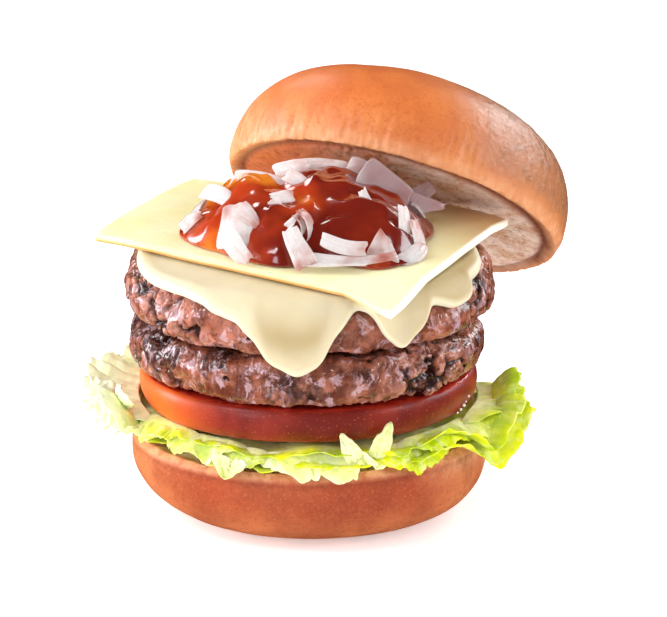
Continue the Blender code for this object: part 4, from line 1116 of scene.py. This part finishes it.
def leaf_finish(name, heart, green, deep):
    """Lettuce: a pale heart, greener rims, pale veins, and a painted highlight where the mask pale says."""
    depths = (0.0012, 0.0014, 0.0009)
    leaf = Finish(name, depths, Coat_Weight=0.09, Coat_Roughness=0.25, Subsurface_Weight=0.30)
    outer = leaf.mix(leaf.span(leaf.noise(0.010, 3.0), 0.36, 0.64), green, deep)
    colour = leaf.mix(leaf.mask("green"), heart, outer)
    colour = leaf.dapple(colour, deep, 0.0018, 3.0, 0.55, 0.52, 0.68, 0.25)
    # Painted highlight: the left of the leaves drawn pale, for the strong light from that side.
    colour = leaf.tint(colour, "pale", 0.85, (242, 255, 218))
    colour = leaf.tint(colour, "vein", 0.50, (250, 255, 210))
    normal = leaf.bump(leaf.noise(0.0016, 2.0), 0.00022)
    return leaf.finish(colour, 0.36, leaf.bump(leaf.noise(0.004, 3.0), 0.00030, normal))


def sauce_finish():
    depths = (0.0060, 0.0014, 0.0003)
    sauce = Finish("sauce_gloss", depths, Coat_Weight=1.0, Coat_Roughness=0.04, Subsurface_Weight=0.30)
    uneven = sauce.span(sauce.noise(0.011, 2.0), 0.3, 0.7, -0.14, 0.14)
    where = sauce.calc("ADD", sauce.mask("dark"), uneven)
    colour = sauce.mix(sauce.span(where, 0.0, 0.45), (222, 124, 34), (172, 56, 23))
    colour = sauce.mix(sauce.span(where, 0.45, 1.0), colour, (112, 28, 17))
    colour = sauce.dapple(colour, (86, 26, 12), 0.0011, 2.0, 0.55, 0.66, 0.72, 0.60)
    return sauce.finish(colour, 0.18, sauce.bump(sauce.noise(0.0060, 2.0), 0.00020))


def onion_finish():
    depths = (0.0022, 0.0020, 0.0018)
    clear = {"Transmission_Weight": 0.42, "IOR": 1.15}
    onion = Finish("onion_wet", depths, Coat_Weight=0.9, Coat_Roughness=0.08, Subsurface_Weight=0.25, **clear)
    inputs = {"W": onion.mask("lines"), "Scale": 9.0, "Detail": 2.0}
    lines = onion.add("TexNoise", inputs, "Fac", noise_dimensions="1D")
    veined = onion.span(lines, 0.42, 0.62, 0.0, 0.35)
    colour = onion.mix(veined, (255, 253, 250), (238, 218, 212))
    colour = onion.dapple(colour, (246, 224, 220), 0.0009, 3.0, 0.55, 0.48, 0.62, 0.40)
    uneven = onion.span(onion.noise(0.0060, 2.0), 0.35, 0.70, -0.18, 0.25)
    stain = onion.calc("ADD", onion.mask("stain"), uneven)
    colour = onion.mix(onion.span(stain, 0.10, 1.1, 0.0, 0.90), colour, (188, 70, 30))
    # Painted shade, lilac grey, on the petals near the crown.
    colour = onion.tint(colour, "veil", 0.80, (170, 136, 138))
    normal = onion.bump(lines, 0.00010)
    return onion.finish(colour, 0.28, onion.bump(onion.noise(0.0008, 2.0), 0.00006, normal))


def floor_finish():
    floor = Finish("floor_pale", Roughness=0.8, Emission_Color=(1, 1, 1, 1), Emission_Strength=0.35)
    colour = floor.mix(floor.noise(0.25, 2.0), (250, 250, 250), (247, 247, 247))
    return floor.finish(colour)


def add_floor():
    """A wide pale floor under the burger."""
    half = 3.0
    mesh = bpy.data.meshes.new("floor")
    corners = [(-half, -half, 0), (half, -half, 0), (half, half, 0), (-half, half, 0)]
    mesh.from_pydata(corners, [], [(0, 1, 2, 3)])
    mesh.materials.append(floor_finish())
    floor = add_object("floor", mesh)
    floor.visible_glossy = False


def add_camera():
    data = bpy.data.cameras.new("camera")
    data.sensor_width = SENSOR_MM
    data.lens = VIEW_DISTANCE / METRES_PER_PX * SENSOR_MM / FRAME_WIDTH_PX
    data.shift_x, data.shift_y = VIEW_SHIFT
    camera = add_object("camera", data)
    rise = math.radians(VIEW_ELEVATION)
    back = Vector((0, -math.cos(rise), math.sin(rise)))
    camera.location = VIEW_TARGET + back * VIEW_DISTANCE
    camera.rotation_euler = (-back).to_track_quat("-Z", "Y").to_euler()
    bpy.context.scene.camera = camera


def add_softbox(name, place, size, power, tint=(1, 1, 1), shows=True):
    """A soft light aimed at the middle of the burger, which shows in gloss or only lights."""
    data = bpy.data.lights.new(name, "AREA")
    data.shape = "RECTANGLE"
    data.size, data.size_y = size
    data.energy = power
    data.color = tint
    light = add_object(name, data)
    light.location = place
    light.visible_glossy = shows
    light.rotation_euler = (VIEW_TARGET - Vector(place)).to_track_quat("-Z", "Y").to_euler()


def add_light():
    """White surroundings, with softboxes behind and above, and a weak fill in front."""
    world = bpy.data.worlds.new("studio")
    world.use_nodes = True
    background = world.node_tree.nodes["Background"]
    background.inputs["Color"].default_value = (1, 1, 1, 1)
    background.inputs["Strength"].default_value = 0.40
    world.cycles_visibility.glossy = False
    bpy.context.scene.world = world
    add_softbox("key_back_left", (-0.75, 0.45, 0.75), (0.6, 0.6), 5.0, shows=False)
    add_softbox("top", (0.05, 0.10, 0.95), (0.5, 0.5), 1.4, shows=False)
    add_softbox("right_back", (0.70, 0.25, 0.50), (0.3, 0.5), 2.5, (0.93, 0.96, 1.0))
    add_softbox("window_left", (-0.60, -0.40, 0.80), (0.22, 0.30), 1.8, (0.94, 0.93, 1.0))
    add_softbox("window_back", (-0.35, 0.75, 0.70), (0.20, 0.30), 1.0)
    add_softbox("low_window", (-0.55, -0.75, 0.33), (0.25, 0.45), 1.6, (0.90, 0.88, 1.0))
    add_softbox("rim_left", (-0.95, 0.25, 0.32), (0.3, 0.5), 5.0, (0.93, 0.91, 1.0))
    add_softbox("strip_right", (0.85, -0.40, 0.45), (0.10, 0.40), 1.6, (0.90, 0.92, 1.0))
    add_softbox("window_right", (0.52, 0.68, 0.46), (0.25, 0.30), 1.6)
    add_softbox("left_fill", (-1.00, -0.25, 0.30), (0.7, 0.5), 7.5, shows=False)
    add_softbox("right_fill", (0.95, -0.25, 0.35), (0.6, 0.5), 3.5, shows=False)
    add_softbox("front_fill", (-0.10, -1.00, 0.28), (0.8, 0.4), 1.7, shows=False)
    bpy.context.scene.view_settings.view_transform = "Standard"


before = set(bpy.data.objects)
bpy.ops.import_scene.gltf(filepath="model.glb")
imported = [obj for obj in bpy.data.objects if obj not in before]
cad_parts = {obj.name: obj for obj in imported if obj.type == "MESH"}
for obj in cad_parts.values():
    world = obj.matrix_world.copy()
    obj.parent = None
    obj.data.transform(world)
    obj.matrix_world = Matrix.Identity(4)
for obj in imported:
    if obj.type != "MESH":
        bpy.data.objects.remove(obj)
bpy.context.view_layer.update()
add_camera()
add_light()
add_floor()
heel_tones = ((210, 124, 70), (167, 65, 20), (138, 48, 15), (232, 168, 122))
heel_bun(crust_finish("heel_crust", *heel_tones, 0.04))
crown_tones = ((214, 132, 70), (210, 112, 43), (180, 78, 28), (226, 160, 112))
crown_bun(crust_finish("crown_crust", *crown_tones, 0.50))
tomato_slice(tomato_finish())
# The tone of the painted lilac sheen on both patties.
lilac_sheen = (206, 170, 176)
patty(
    "patty_lower",
    meat_finish("meat_lower", (104, 47, 27), (156, 88, 63), (50, 26, 23), lilac_sheen),
    11.0,
    torn_zones=((44, 28, 1.0), (150, 60, 0.8), (-140, 50, 0.7), (-70, 34, 0.6)),
    wet_zones=((-62, 58, 1.0), (70, 50, 0.8)),
    char_zones=((-66, 48, 1.0), (90, 30, 0.6)),
)
patty(
    "patty_upper",
    meat_finish("meat_upper", (112, 54, 32), (164, 94, 70), (56, 26, 20), lilac_sheen),
    27.0,
    torn_zones=((-58, 40, 1.0), (160, 60, 0.8), (-140, 40, 0.7), (70, 22, 0.8)),
    wet_zones=((62, 45, 1.0), (-60, 40, 0.6)),
    char_zones=((74, 24, 0.4),),
)
melt_tones = ((212, 199, 166), (206, 189, 148), (172, 148, 98), (222, 211, 182))
melted_cheese(cheese_finish("cheese_soft", *melt_tones, 0.42))
slice_tones = ((246, 238, 190), (244, 230, 162), (164, 100, 4), (206, 132, 36))
cheese_slice(cheese_finish("cheese_firm", *slice_tones, 0.36))
lower_green = leaf_finish("leaf_lower", (250, 255, 206), (242, 246, 14), (196, 212, 6))
lettuce_leaf(LOWER_LEAF, lower_green, LOWER_LOBES, FRONT_FLAPS)
upper_green = leaf_finish("leaf_upper", (250, 255, 196), (238, 246, 20), (178, 202, 8))
lettuce_leaf(UPPER_LEAF, upper_green, UPPER_LOBES, SIDE_FLAPS)
sauce_pool(sauce_finish())
onion_heap(onion_finish())
